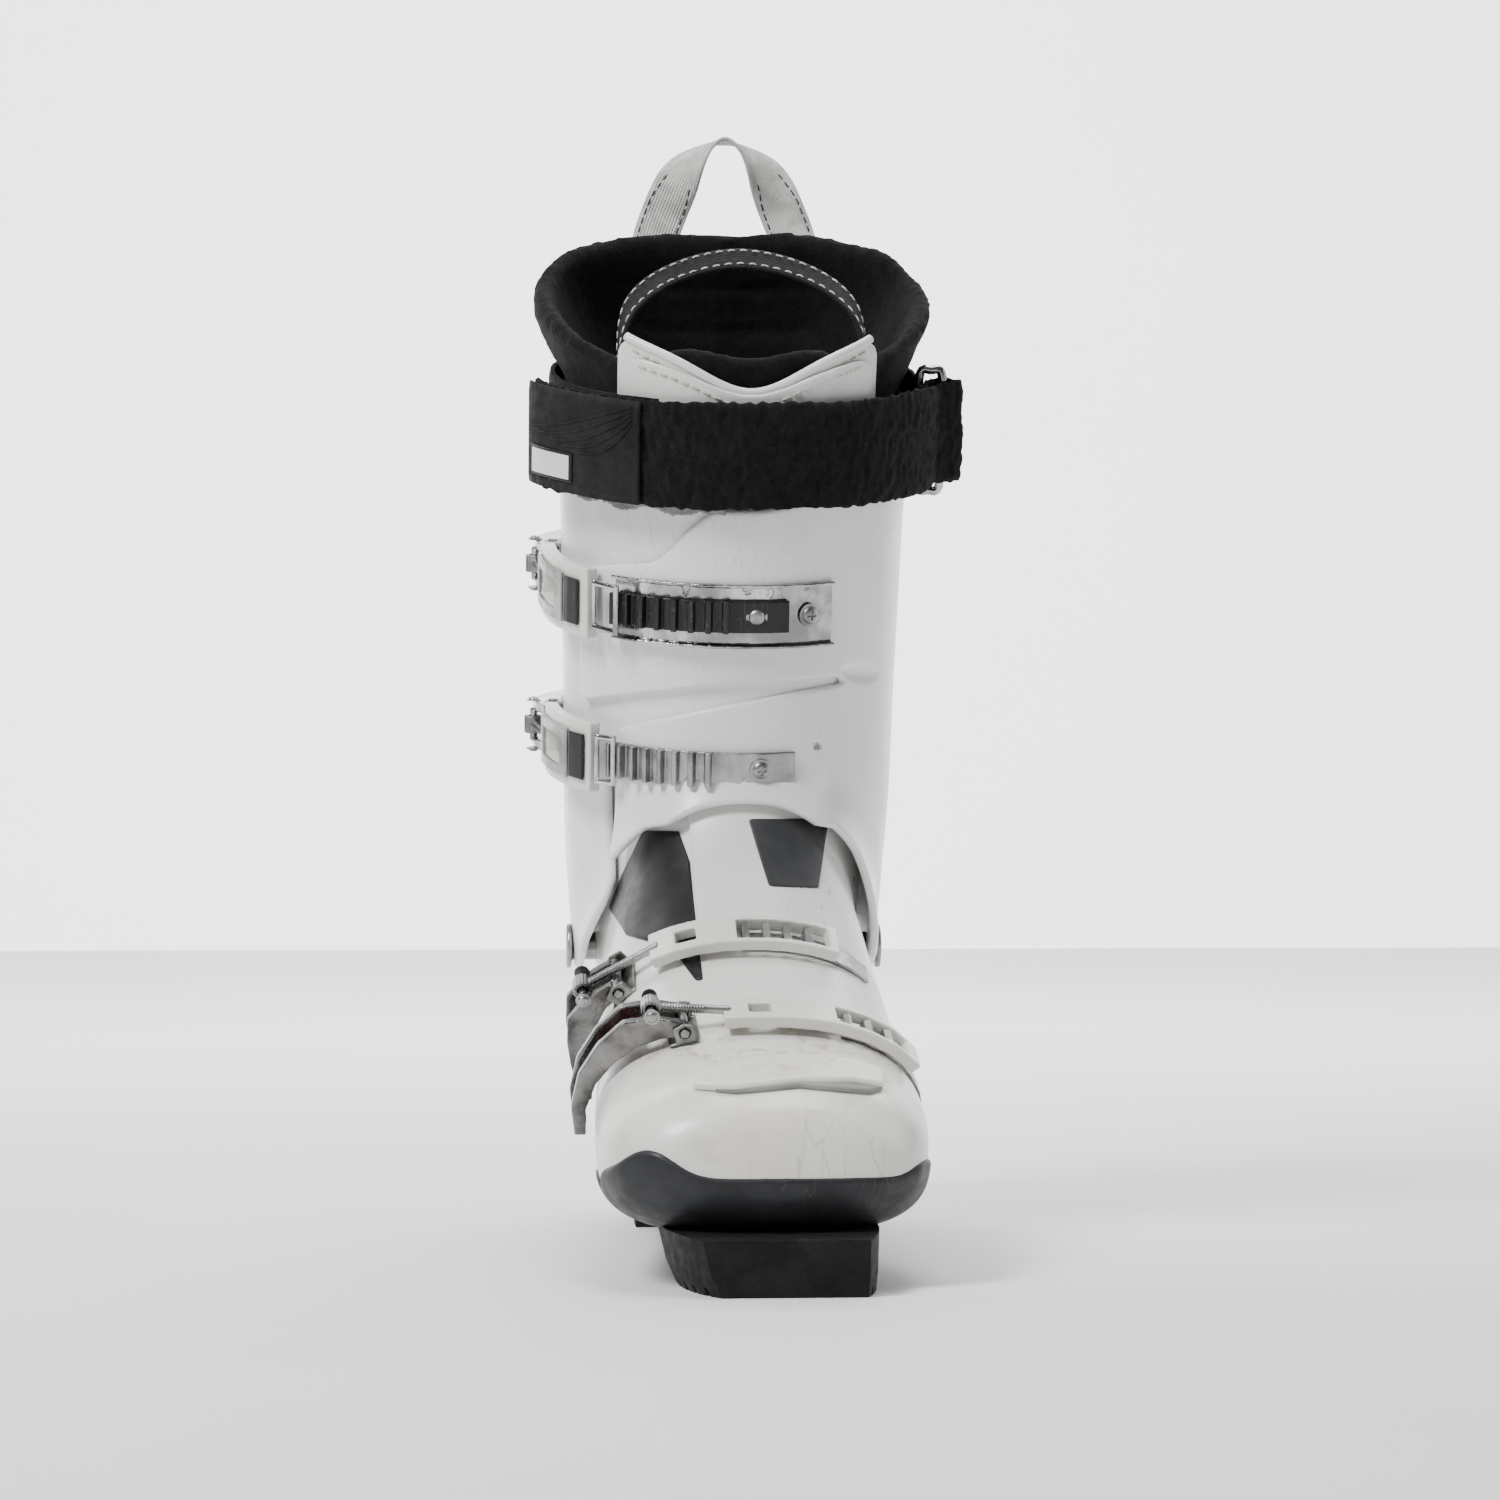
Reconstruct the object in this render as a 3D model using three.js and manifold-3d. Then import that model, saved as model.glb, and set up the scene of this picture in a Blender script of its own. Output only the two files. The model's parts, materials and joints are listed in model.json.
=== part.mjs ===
// Alpine ski boot, right foot: white plastic lower shell and cuff, a removable liner, four lever
// buckles on the lateral side and a power strap round the top.
// Millimetres. Toe towards -Y, heel towards +Y, +Z up, medial side towards +X, lateral towards -X.
// The origin is the middle of the heel pad's underside.

import * as THREE from 'three';
import { mergeVertices } from 'three/addons/utils/BufferGeometryUtils.js';
import Module from 'manifold-3d';

const wasm = await Module();
wasm.setup();

// ---------------------------------------------------------------- driving dimensions

const SOLE_LENGTH = 300;      // toe pad front to heel pad back
const CUFF_HEIGHT = 330;      // ground to the cuff's highest point, at the back
const WIDTH = 104;            // lower shell across the ball of the foot
const PAD_WIDTH = 69;         // both sole pads
const TOE_PAD_LENGTH = 56;
const TOE_PAD_HEIGHT = 19;
const LEDGE_DEPTH = 6;           // of the flat strip that a binding's toe piece holds down
const HEEL_PAD_LENGTH = 70;
const HEEL_PAD_HEIGHT = 30;
const SHELL_WALL = 4;
const CUFF_WALL = 3.6;
const CUFF_PLAY = 4.2;        // between the lower shell and the cuff, for the flex
const LINER_WALL = 5.5;
const BOARD_TOP = 29;         // height of the bootboard's upper face
const PIVOT = { along: 0.215, up: 0.305, radius: 5 };   // ankle rivets, as shares of the two sizes
const STRAP_WIDTH = 36;
const STRAP_THICKNESS = 2.4;
const ARM_WIDTH = 16;         // white arms of the lower buckles
const UPPER_ARM_WIDTH = 24;   // white arms of the upper buckles
const PIN_RADIUS = 1.5;
const WIRE_RADIUS = 1.1;
const GAP = 0.35;             // between touching pieces

const HEEL_BACK = HEEL_PAD_LENGTH / 2;
const TOE_FRONT = HEEL_BACK - SOLE_LENGTH;
const CUFF_INNER = CUFF_PLAY;
const CUFF_OUTER = CUFF_PLAY + CUFF_WALL;
const STRAP_INNER = CUFF_OUTER + 0.5;

const along = (share) => HEEL_BACK - share * SOLE_LENGTH;
const up = (share) => share * CUFF_HEIGHT;
const radians = THREE.MathUtils.degToRad;
const point = (x, y, z) => new THREE.Vector3(x, y, z);

// ---------------------------------------------------------------- solids

// Turns a geometry into a solid, with its shared vertices merged and its faces pointing out.
function toSolid(geometry) {
  const plain = geometry.clone();
  plain.deleteAttribute('normal');
  plain.deleteAttribute('uv');
  const merged = mergeVertices(plain, 1e-4);
  const vertProperties = new Float32Array(merged.attributes.position.array);
  const triVerts = new Uint32Array(merged.index.array);
  const solid = new wasm.Manifold(new wasm.Mesh({ numProp: 3, vertProperties, triVerts }));
  if (solid.volume() >= 0) return solid;
  for (let i = 0; i < triVerts.length; i += 3) {
    [triVerts[i], triVerts[i + 1]] = [triVerts[i + 1], triVerts[i]];
  }
  return new wasm.Manifold(new wasm.Mesh({ numProp: 3, vertProperties, triVerts }));
}

function toGeometry(solid) {
  const mesh = solid.getMesh();
  const stride = mesh.numProp;
  const positions = new Float32Array((mesh.vertProperties.length / stride) * 3);
  for (let i = 0; i < positions.length / 3; i += 1) {
    for (let k = 0; k < 3; k += 1) positions[3 * i + k] = mesh.vertProperties[stride * i + k];
  }
  const geometry = new THREE.BufferGeometry();
  geometry.setAttribute('position', new THREE.BufferAttribute(positions, 3));
  geometry.setIndex(Array.from(mesh.triVerts));
  return geometry;
}

// Skins a row of rings that all have the same number of points, and closes both ends.
function skin(rings) {
  const count = rings[0].length;
  const positions = rings.flat().flatMap((p) => [p.x, p.y, p.z]);
  const index = [];
  for (let r = 0; r + 1 < rings.length; r += 1) {
    for (let i = 0; i < count; i += 1) {
      const a = r * count + i;
      const b = r * count + ((i + 1) % count);
      index.push(a, b, b + count, a, b + count, a + count);
    }
  }
  for (const [ring, flip] of [[0, true], [rings.length - 1, false]]) {
    const middle = positions.length / 3;
    const sum = rings[ring].reduce((total, p) => total.add(p), point(0, 0, 0));
    positions.push(sum.x / count, sum.y / count, sum.z / count);
    for (let i = 0; i < count; i += 1) {
      const a = ring * count + i;
      const b = ring * count + ((i + 1) % count);
      index.push(middle, flip ? b : a, flip ? a : b);
    }
  }
  const geometry = new THREE.BufferGeometry();
  geometry.setAttribute('position', new THREE.Float32BufferAttribute(positions, 3));
  geometry.setIndex(index);
  return toSolid(geometry);
}

// A plate from an outline of [y, z] points, running across the whole boot along X.
function sideProfile(outline, xFrom = -130, xTo = 130) {
  const shape = new THREE.Shape(outline.map(([y, z]) => new THREE.Vector2(y, z)));
  const plate = new THREE.ExtrudeGeometry(shape, { depth: xTo - xFrom, bevelEnabled: false });
  const toWorld = new THREE.Matrix4().makeBasis(point(0, 1, 0), point(0, 0, 1), point(1, 0, 0));
  return toSolid(plate.applyMatrix4(toWorld.setPosition(xFrom, 0, 0)));
}

// A plate from an outline of [x, z] points, running along Y.
function frontProfile(outline, yFrom, yTo) {
  const shape = new THREE.Shape(outline.map(([x, z]) => new THREE.Vector2(x, z)));
  const plate = new THREE.ExtrudeGeometry(shape, { depth: yTo - yFrom, bevelEnabled: false });
  const toWorld = new THREE.Matrix4().makeBasis(point(1, 0, 0), point(0, 0, 1), point(0, -1, 0));
  return toSolid(plate.applyMatrix4(toWorld.setPosition(0, yTo, 0)));
}

function box(from, to) {
  const size = to.map((value, k) => value - from[k]);
  const block = new THREE.BoxGeometry(...size);
  return toSolid(block.translate(...from.map((value, k) => value + size[k] / 2)));
}

// A round bar from one point to another.
function bar(from, to, radius, sides = 10) {
  const length = from.distanceTo(to);
  const cylinder = new THREE.CylinderGeometry(radius, radius, length, sides);
  const turn = new THREE.Quaternion();
  turn.setFromUnitVectors(point(0, 1, 0), to.clone().sub(from).normalize());
  cylinder.applyQuaternion(turn);
  const middle = from.clone().add(to).multiplyScalar(0.5);
  return toSolid(cylinder.translate(middle.x, middle.y, middle.z));
}

// ---------------------------------------------------------------- the boot's form

// Sections from the toe, over the instep, to the top of the shaft. front is the point on the
// instep and shin line, back the point on the sole, heel and calf line, each as shares of the sole
// length and the cuff height. half is the half width as a share of WIDTH, and round the exponents
// of the section's front and back halves.
const SECTIONS = [
  { front: [0.968, 0.135], back: [0.968, 0.105], half: 0.08, round: [2, 2] },
  { front: [0.962, 0.158], back: [0.963, 0.088], half: 0.25, round: [2.2, 2.2] },
  { front: [0.945, 0.178], back: [0.946, 0.070], half: 0.36, round: [2.3, 2.6] },
  { front: [0.905, 0.200], back: [0.905, 0.056], half: 0.455, round: [2.3, 3] },
  { front: [0.830, 0.222], back: [0.830, 0.048], half: 0.498, round: [2.3, 3.2] },
  { front: [0.735, 0.262], back: [0.735, 0.043], half: 0.495, round: [2.2, 3.2] },
  { front: [0.640, 0.318], back: [0.630, 0.040], half: 0.475, round: [2.2, 3.2] },
  { front: [0.565, 0.375], back: [0.510, 0.040], half: 0.455, round: [2.2, 3] },
  { front: [0.520, 0.425], back: [0.350, 0.040], half: 0.440, round: [2.2, 3] },
  { front: [0.500, 0.460], back: [0.170, 0.045], half: 0.430, round: [2.2, 2.8] },
  { front: [0.494, 0.490], back: [0.035, 0.095], half: 0.430, round: [2.2, 2.5] },
  { front: [0.496, 0.525], back: [0.002, 0.205], half: 0.450, round: [2.2, 2.3] },
  { front: [0.505, 0.570], back: [0.010, 0.330], half: 0.470, round: [2.2, 2.2] },
  { front: [0.524, 0.630], back: [0.042, 0.450], half: 0.475, round: [2.2, 2.2] },
  { front: [0.550, 0.705], back: [0.085, 0.590], half: 0.482, round: [2.2, 2.2] },
  { front: [0.580, 0.795], back: [0.130, 0.740], half: 0.492, round: [2.2, 2.2] },
  { front: [0.614, 0.895], back: [0.178, 0.890], half: 0.510, round: [2.2, 2.2] },
  { front: [0.650, 1.000], back: [0.225, 1.040], half: 0.530, round: [2.2, 2.2] },
  { front: [0.690, 1.110], back: [0.275, 1.190], half: 0.550, round: [2.2, 2.2] },
];

const LATERAL_SHARE = 1.03;    // the lateral half of the foot is this much wider than the medial
const TOE_ROWS = 4;            // sections over which the toe cap grows forwards too

function sectionAt(position) {
  const low = Math.min(Math.floor(position), SECTIONS.length - 2);
  const t = position - low;
  const pick = (k) => SECTIONS[Math.max(0, Math.min(SECTIONS.length - 1, k))];
  const smooth = (read) => {
    const [a, b, c, d] = [pick(low - 1), pick(low), pick(low + 1), pick(low + 2)].map(read);
    return 0.5 * (2 * b + (c - a) * t + (2 * a - 5 * b + 4 * c - d) * t * t
      + (3 * b - a - 3 * c + d) * t * t * t);
  };
  return {
    front: point(0, along(smooth((s) => s.front[0])), up(smooth((s) => s.front[1]))),
    back: point(0, along(smooth((s) => s.back[0])), up(smooth((s) => s.back[1]))),
    half: smooth((s) => s.half) * WIDTH,
    round: [0, 1].map((k) => smooth((s) => s.round[k])),
  };
}

// One ring of the form, grown outwards by offset.
function ring(position, offset, count) {
  const { front, back, half, round } = sectionAt(position);
  const middle = front.clone().add(back).multiplyScalar(0.5);
  const reach = front.clone().sub(middle);
  const grown = reach.clone().setLength(Math.max(reach.length() + offset, 0.6));
  const width = Math.max(half + offset, 0.6);
  const tip = position < TOE_ROWS ? -offset * Math.cos((Math.PI / 2) * (position / TOE_ROWS)) ** 2 : 0;
  const points = [];
  for (let i = 0; i < count; i += 1) {
    const angle = (2 * Math.PI * i) / count;
    const power = 2 / (Math.cos(angle) >= 0 ? round[0] : round[1]);
    const deep = Math.sign(Math.cos(angle)) * Math.abs(Math.cos(angle)) ** power;
    const wide = Math.sign(Math.sin(angle)) * Math.abs(Math.sin(angle)) ** power;
    const side = wide < 0 ? LATERAL_SHARE : 1;
    points.push(middle.clone().addScaledVector(grown, deep).add(point(wide * width * side, tip, 0)));
  }
  return points;
}

const ROWS = 22;               // rows of every form, so that forms with other offsets nest

// The form as a closed solid, from one row to another. offset is a number, or a function of the
// position along the form.
function form(offset, { first = 0, last = ROWS, rows = ROWS, count = 20 } = {}) {
  const grow = typeof offset === 'function' ? offset : () => offset;
  const rings = [];
  for (let r = first; r <= last; r += 1) {
    const position = ((SECTIONS.length - 1) * r) / rows;
    rings.push(ring(position, grow(position), count));
  }
  return skin(rings);
}

// The form between two offsets. The inner side runs a row further at both ends.
function shell(outer, inner, { first, last = ROWS }) {
  const inside = form(inner, { first: first - 1, last: Math.min(last + 1, ROWS) });
  return form(outer, { first, last }).subtract(inside);
}

// ---------------------------------------------------------------- bands round the boot

// A band is a plane across the boot. axis runs along the boot, up points out of the instep or the
// shin. Angles go round the axis from up, positive towards the medial side.
function makeBand(name, share, leanDegrees, depth, offset) {
  let position = 4;
  while (sectionAt(position).front.z < share * CUFF_HEIGHT) position += 0.01;
  const lean = radians(leanDegrees);
  const outward = point(0, -Math.cos(lean), -Math.sin(lean));
  const axis = point(0, -Math.sin(lean), Math.cos(lean));
  const centre = sectionAt(position).front.clone().addScaledVector(outward, -depth);
  return { name, axis, outward, centre, offset, surface: surfaceMesh(offset) };
}

const surfaces = new Map();

// A fine skin of the form, only for finding where a ray leaves it.
function surfaceMesh(offset) {
  if (!surfaces.has(offset)) {
    const geometry = toGeometry(form(offset, { last: 54, rows: 54, count: 48 }));
    surfaces.set(offset, new THREE.Mesh(geometry, new THREE.MeshBasicMaterial({ side: THREE.DoubleSide })));
  }
  return surfaces.get(offset);
}

function hit(band, degrees) {
  const angle = radians(degrees);
  const direction = band.outward.clone().multiplyScalar(Math.cos(angle)).add(point(Math.sin(angle), 0, 0));
  const ray = new THREE.Raycaster(band.centre, direction);
  return ray.intersectObject(band.surface)[0].point;
}

// The place on a band: across runs along the axis, height is above the surface.
function frameAt(band, degrees) {
  const step = 3;
  const tangent = hit(band, degrees + step).sub(hit(band, degrees - step)).normalize();
  const normal = tangent.clone().cross(band.axis);
  return { base: hit(band, degrees), tangent, normal };
}

function place(band, degrees, height, across = 0) {
  const { base, normal } = frameAt(band, degrees);
  return base.addScaledVector(normal, height).addScaledVector(band.axis, across);
}

// A strip that follows the surface. profile(share) gives [low, high, across from, across to].
function strip(band, from, to, profile, steps = 6) {
  const rings = [];
  for (let i = 0; i <= steps; i += 1) {
    const share = i / steps;
    const [low, high, left, right] = profile(share);
    const degrees = from + (to - from) * share;
    const { base, normal } = frameAt(band, degrees);
    const corner = (height, across) => base.clone().addScaledVector(normal, height)
      .addScaledVector(band.axis, across);
    rings.push([corner(low, left), corner(high, left), corner(high, right), corner(low, right)]);
  }
  return skin(rings);
}

// Clears a piece of the surface it sits on.
function seat(band, solid) {
  return solid.subtract(form(band.offset + GAP / 2));
}

// Everything above a band's upper edge, raised by lift.
function above(band, lift) {
  const reach = 160;
  const at = (outwards, upwards) => {
    const p = band.centre.clone().addScaledVector(band.outward, outwards).addScaledVector(band.axis, upwards);
    return [p.y, p.z];
  };
  return sideProfile([at(reach, lift), at(reach, lift + reach), at(-reach, lift + reach), at(-reach, lift)]);
}

const flat = (low, high, half) => () => [low, high, -half, half];

function crossBar(band, degrees, height, radius, half, sides = 10) {
  return bar(place(band, degrees, height, -half), place(band, degrees, height, half), radius, sides);
}

// A screw or rivet head standing on a band.
function head(band, degrees, low, high, radius, across = 0, sides = 10) {
  return bar(place(band, degrees, low, across), place(band, degrees, high, across), radius, sides);
}

const BAND = {
  cuffTop: makeBand('cuff_top', 0.655, 14, 66, CUFF_OUTER),
  cuffLow: makeBand('cuff_low', 0.497, 11, 66, CUFF_OUTER),
  instep: makeBand('instep', 0.318, -60, 50, 0),
  toe: makeBand('toe', 0.243, -70, 40, 0),
  strap: makeBand('strap', 0.815, 14, 64, STRAP_INNER),
};

// ---------------------------------------------------------------- the object

const boot = new THREE.Group();

function add(name, solid, colour, roughness, metalness = 0) {
  const material = new THREE.MeshStandardMaterial({ color: colour, roughness, metalness });
  const mesh = new THREE.Mesh(toGeometry(solid), material);
  mesh.name = name;
  boot.add(mesh);
  return solid;
}

const WHITE = 0xe9eced;
const DARK = 0x3b3d40;
const BLACK = 0x131315;
const STEEL = 0xb9bbbd;
const CHROME = 0xd4d7da;

const pivot = point(0, along(PIVOT.along), up(PIVOT.up));
const pivotHole = (grow) => bar(pivot.clone().setX(-120), pivot.clone().setX(120), PIVOT.radius + grow);

// Lower shell: open on top, cut level just under the cuff's front edge.
const shellTop = sideProfile([
  [along(1.1), -20], [along(-0.2), -20], [along(-0.2), up(0.455)], [along(0.25), up(0.455)],
  [along(0.45), up(0.492)], [along(1.1), up(0.492)],
]);
const shellOuter = form(0);
add('lower_shell', shellOuter.subtract(form(-SHELL_WALL)).intersect(shellTop).subtract(pivotHole(GAP)),
  WHITE, 0.38);

// Dark frame round the sole, with the arch between the two pads.
const FRAME_WALL = 1.6;
const frameRegion = sideProfile([
  [along(1.05), 5], [along(-0.05), 5], [along(-0.05), up(0.16)], [along(0.2), up(0.10)],
  [along(0.6), up(0.085)], [along(0.9), up(0.10)], [along(1.05), up(0.115)],
]);
const padGap = (from, to) => box([-PAD_WIDTH / 2 - 9, from, -1], [PAD_WIDTH / 2 + 9, to, 4]);
const toePadBack = TOE_FRONT + TOE_PAD_LENGTH;
const heelPadFront = HEEL_BACK - HEEL_PAD_LENGTH;
const arch = box([-PAD_WIDTH / 2 + 6, toePadBack + GAP, 6], [PAD_WIDTH / 2 - 6, heelPadFront - GAP, 20]);
const frameSkin = form(FRAME_WALL).intersect(frameRegion);
add('sole_frame', frameSkin.add(arch).subtract(form(GAP)), DARK, 0.6);

function pad(from, to, height, corner) {
  const half = PAD_WIDTH / 2;
  const shape = new THREE.Shape();
  shape.moveTo(-half, from);
  shape.lineTo(half, from);
  shape.lineTo(half, to - Math.sign(to - from) * corner);
  shape.quadraticCurveTo(half, to, half - corner, to);
  shape.lineTo(-half + corner, to);
  shape.quadraticCurveTo(-half, to, -half, to - Math.sign(to - from) * corner);
  const block = new THREE.ExtrudeGeometry(shape, { depth: height, bevelEnabled: false, curveSegments: 4 });
  return toSolid(block).subtract(form(FRAME_WALL + GAP));
}
const ledgeStep = box([-PAD_WIDTH, TOE_FRONT + LEDGE_DEPTH, TOE_PAD_HEIGHT - 0.6],
  [PAD_WIDTH, toePadBack + 1, TOE_PAD_HEIGHT + 1]);
add('toe_sole_pad', pad(toePadBack, TOE_FRONT, TOE_PAD_HEIGHT, 12).subtract(ledgeStep), 0x232427, 0.75);
add('heel_sole_pad', pad(heelPadFront, HEEL_BACK, HEEL_PAD_HEIGHT, 24), 0x232427, 0.75);

// Bootboard, liner and footbed inside the lower shell.
const below = (height) => box([-90, TOE_FRONT - 20, -5], [90, HEEL_BACK + 20, height]);
const LINER_OUTER = -SHELL_WALL - GAP;
const LINER_INNER = LINER_OUTER - LINER_WALL;
const linerTop = sideProfile([
  [along(1.1), -20], [along(-0.2), -20], [along(-0.2), up(0.44)], [along(0.25), up(0.44)],
  [along(0.45), up(0.477)], [along(1.1), up(0.477)],
]);
add('bootboard', form(-SHELL_WALL - GAP).intersect(below(BOARD_TOP)), 0x4a4c50, 0.7);
const linerFloor = BOARD_TOP + GAP + 4;
const linerCavity = form(LINER_INNER).subtract(below(linerFloor));
add('liner_foot', form(LINER_OUTER).subtract(below(BOARD_TOP + GAP)).subtract(linerCavity)
  .intersect(linerTop), BLACK, 0.9);
add('footbed', form(LINER_INNER - GAP).intersect(below(linerFloor + 4))
  .subtract(below(linerFloor + GAP)).intersect(box([-60, along(0.93), 0], [60, along(0.06), 60])),
  0x2c2e33, 0.9);

// Thin inserts and the badge on the instep, cut from a layer over the shell.
function patch(outline, low, high, yFrom, yTo) {
  return shell(high, low, { first: 2, last: 15 }).intersect(frontProfile(outline, yFrom, yTo));
}
add('instep_insert_lateral', patch(
  [[-28, up(0.435)], [-18, up(0.435)], [-15, up(0.275)], [-38, up(0.335)], [-40, up(0.36)]],
  GAP, 1.2, along(0.72), along(0.43)), 0x26272a, 0.5);
add('instep_insert_medial', patch(
  [[2.5, up(0.435)], [31, up(0.435)], [24, up(0.37)], [7, up(0.372)]],
  GAP, 1.2, along(0.65), along(0.43)), 0x46484d, 0.5);
add('toe_badge', patch(
  [[-26, up(0.195)], [-14, up(0.216)], [10, up(0.222)], [36, up(0.208)], [34, up(0.193)], [8, up(0.199)],
    [-12, up(0.192)]],
  GAP, 1.9, along(0.93), along(0.77)), 0xe4e3dc, 0.4);

// ---------------------------------------------------------------- cuff and what rides on it

const CUFF_ROW = 10;
const cuffSide = [
  [along(0.66), up(0.43)], [along(0.49), up(0.432)], [along(0.40), up(0.36)], [along(0.30), up(0.285)],
  [along(0.16), up(0.262)], [along(0.03), up(0.32)], [along(-0.06), up(0.42)], [along(-0.06), up(1)],
  [along(0.22), up(1)], [along(0.32), up(0.97)], [along(0.44), up(0.86)], [along(0.56), up(0.79)],
  [along(0.70), up(0.78)],
];
const cuffBody = shell(CUFF_OUTER, CUFF_INNER, { first: CUFF_ROW }).intersect(sideProfile(cuffSide));
add('cuff', cuffBody.subtract(pivotHole(GAP)), WHITE, 0.36);

for (const [side, name] of [[-1, 'ankle_rivet_lateral'], [1, 'ankle_rivet_medial']]) {
  const outer = hit({ ...BAND.cuffLow, outward: point(0, -1, 0), centre: pivot }, 90 * side).x;
  const shank = bar(pivot.clone().setX(outer - side * 11.2), pivot.clone().setX(outer + side), PIVOT.radius);
  const cap = bar(pivot.clone().setX(outer + side * 0.6), pivot.clone().setX(outer + side * 2.4),
    PIVOT.radius + 3, 20);
  add(name, shank.add(cap), STEEL, 0.35, 1);
}

// Dark panel down the spine, with its two bolts.
const spineRegion = sideProfile([
  [along(0.02), up(0.50)], [along(-0.1), up(0.50)], [along(-0.1), up(0.84)], [along(0.14), up(0.84)],
]);
add('rear_spine', shell(CUFF_OUTER + 1.8, CUFF_OUTER + GAP, { first: CUFF_ROW }).intersect(spineRegion),
  DARK, 0.55);
const BAND_BACK = makeBand('back', 0.66, 14, 66, CUFF_OUTER);
add('spine_bolt', head(BAND_BACK, 180, 2.2 + GAP * 3, 5, 5), STEEL, 0.35, 1);

// Upper liner: a padded collar that flares above the cuff, open at the front for the tongue.
const COLLAR_ROW = 11;
const collarFlare = (position) => THREE.MathUtils.smoothstep(position, 15.2, 17.4) * 12;
const collarOuter = (position) => CUFF_INNER - GAP * 2 + collarFlare(position);
const collarInner = (position) => collarOuter(position) - 8;
const collarRegion = sideProfile([
  [along(0.62), up(0.525)], [along(0.25), up(0.49)], [along(-0.1), up(0.49)], [along(-0.1), up(1.095)],
  [along(0.12), up(1.095)], [along(0.28), up(1.06)], [along(0.42), up(0.99)], [along(0.52), up(0.93)],
  [along(0.585), up(0.87)], [along(0.75), up(0.85)],
]);
const tongueHalf = 31;
const tongueSlot = frontProfile([
  [-tongueHalf, 120], [tongueHalf, 120], [tongueHalf, 420], [-tongueHalf, 420],
], along(0.9), along(0.40));
// The flare starts clear of both the strap's upper edge and the cuff's highest corner.
const cuffCorner = point(0, along(0.22), up(1)).sub(BAND.strap.centre).dot(BAND.strap.axis);
const flareStart = Math.max(STRAP_WIDTH / 2 + 8, cuffCorner + 1.5);
const collarWings = shell(collarOuter, collarInner, { first: COLLAR_ROW })
  .intersect(above(BAND.strap, flareStart));
const collarStem = shell(CUFF_INNER - GAP * 2, CUFF_INNER - GAP * 2 - 8, { first: COLLAR_ROW })
  .subtract(above(BAND.strap, flareStart + 1));
add('liner_upper', collarWings.add(collarStem).intersect(collarRegion).subtract(tongueSlot), BLACK, 0.95);

// Tongue in the slot, with the white facing over its upper part.
const tongueRegion = sideProfile([
  [along(0.40), up(0.53)], [along(0.75), up(0.53)], [along(0.75), up(0.915)], [along(0.40), up(0.915)],
]);
const tongueColumn = frontProfile([
  [-tongueHalf + 1, 120], [tongueHalf - 1, 120], [tongueHalf - 1, 420], [-tongueHalf + 1, 420],
], along(0.9), along(0.41));
const tongueOuter = CUFF_INNER - GAP * 2;
add('tongue', shell(tongueOuter, tongueOuter - 7, { first: COLLAR_ROW })
  .intersect(tongueRegion).intersect(tongueColumn), BLACK, 0.9);
const facingRegion = sideProfile([
  [along(0.40), up(0.78)], [along(0.75), up(0.78)], [along(0.75), up(0.905)], [along(0.40), up(0.905)],
]);
const facingColumn = frontProfile([[-42, 120], [42, 120], [42, 420], [-42, 420]], along(0.9), along(0.44));
add('tongue_facing', shell(CUFF_OUTER, CUFF_OUTER - 1.8, { first: COLLAR_ROW })
  .intersect(facingRegion).intersect(facingColumn).subtract(cuffBody), 0xe6e6e2, 0.3);

// A ribbon of webbing along a curve; side(tangent, share) is the direction across it.
function ribbon(points, width, thickness, side, steps = 16) {
  const curve = new THREE.CatmullRomCurve3(points);
  const rings = [];
  for (let i = 0; i <= steps; i += 1) {
    const at = curve.getPointAt(i / steps);
    const tangent = curve.getTangentAt(i / steps);
    const across = side(tangent, i / steps).normalize();
    const out = tangent.clone().cross(across).normalize();
    const corner = (w, t) => at.clone().addScaledVector(across, w * width)
      .addScaledVector(out, t * thickness);
    rings.push([corner(-0.5, -0.5), corner(-0.5, 0.5), corner(0.5, 0.5), corner(0.5, -0.5)]);
  }
  return skin(rings);
}

// Pull loops. The heel loop stands against the collar's back; its tape faces forwards at its legs and
// turns over at the top.
const HEEL_LOOP_WIDTH = 15;
let loopRow = COLLAR_ROW;
while (sectionAt(loopRow).back.z < up(1.03)) loopRow += 0.05;
const heelY = sectionAt(loopRow).back.y + collarOuter(loopRow) + 1.4;
add('heel_loop', ribbon([
  point(-27, heelY, up(1.03)), point(-23, heelY - 1, up(1.09)), point(-14, heelY - 3, up(1.15)),
  point(0, heelY - 4, up(1.18)), point(14, heelY - 3, up(1.15)), point(23, heelY - 1, up(1.09)),
  point(27, heelY, up(1.03)),
], HEEL_LOOP_WIDTH, 1.6, (tangent, share) => tangent.clone().cross(point(0, 1, 0))
  .lerp(point(0, 1, 0), 1 - Math.min(1, Math.abs(share - 0.5) * 5))), 0xd9d6cd, 0.9);
const loopY = along(0.50);
add('tongue_loop', ribbon([
  point(-38, loopY, up(0.87)), point(-41, loopY + 2, up(0.92)), point(-35, loopY + 6, up(0.975)),
  point(-18, loopY + 9, up(1.01)), point(0, loopY + 10, up(1.02)), point(18, loopY + 9, up(1.01)),
  point(35, loopY + 6, up(0.975)), point(41, loopY + 2, up(0.92)), point(38, loopY, up(0.87)),
], 12, 1.6, () => point(0, 0.6, 0.8)), 0x18181a, 0.9);

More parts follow.
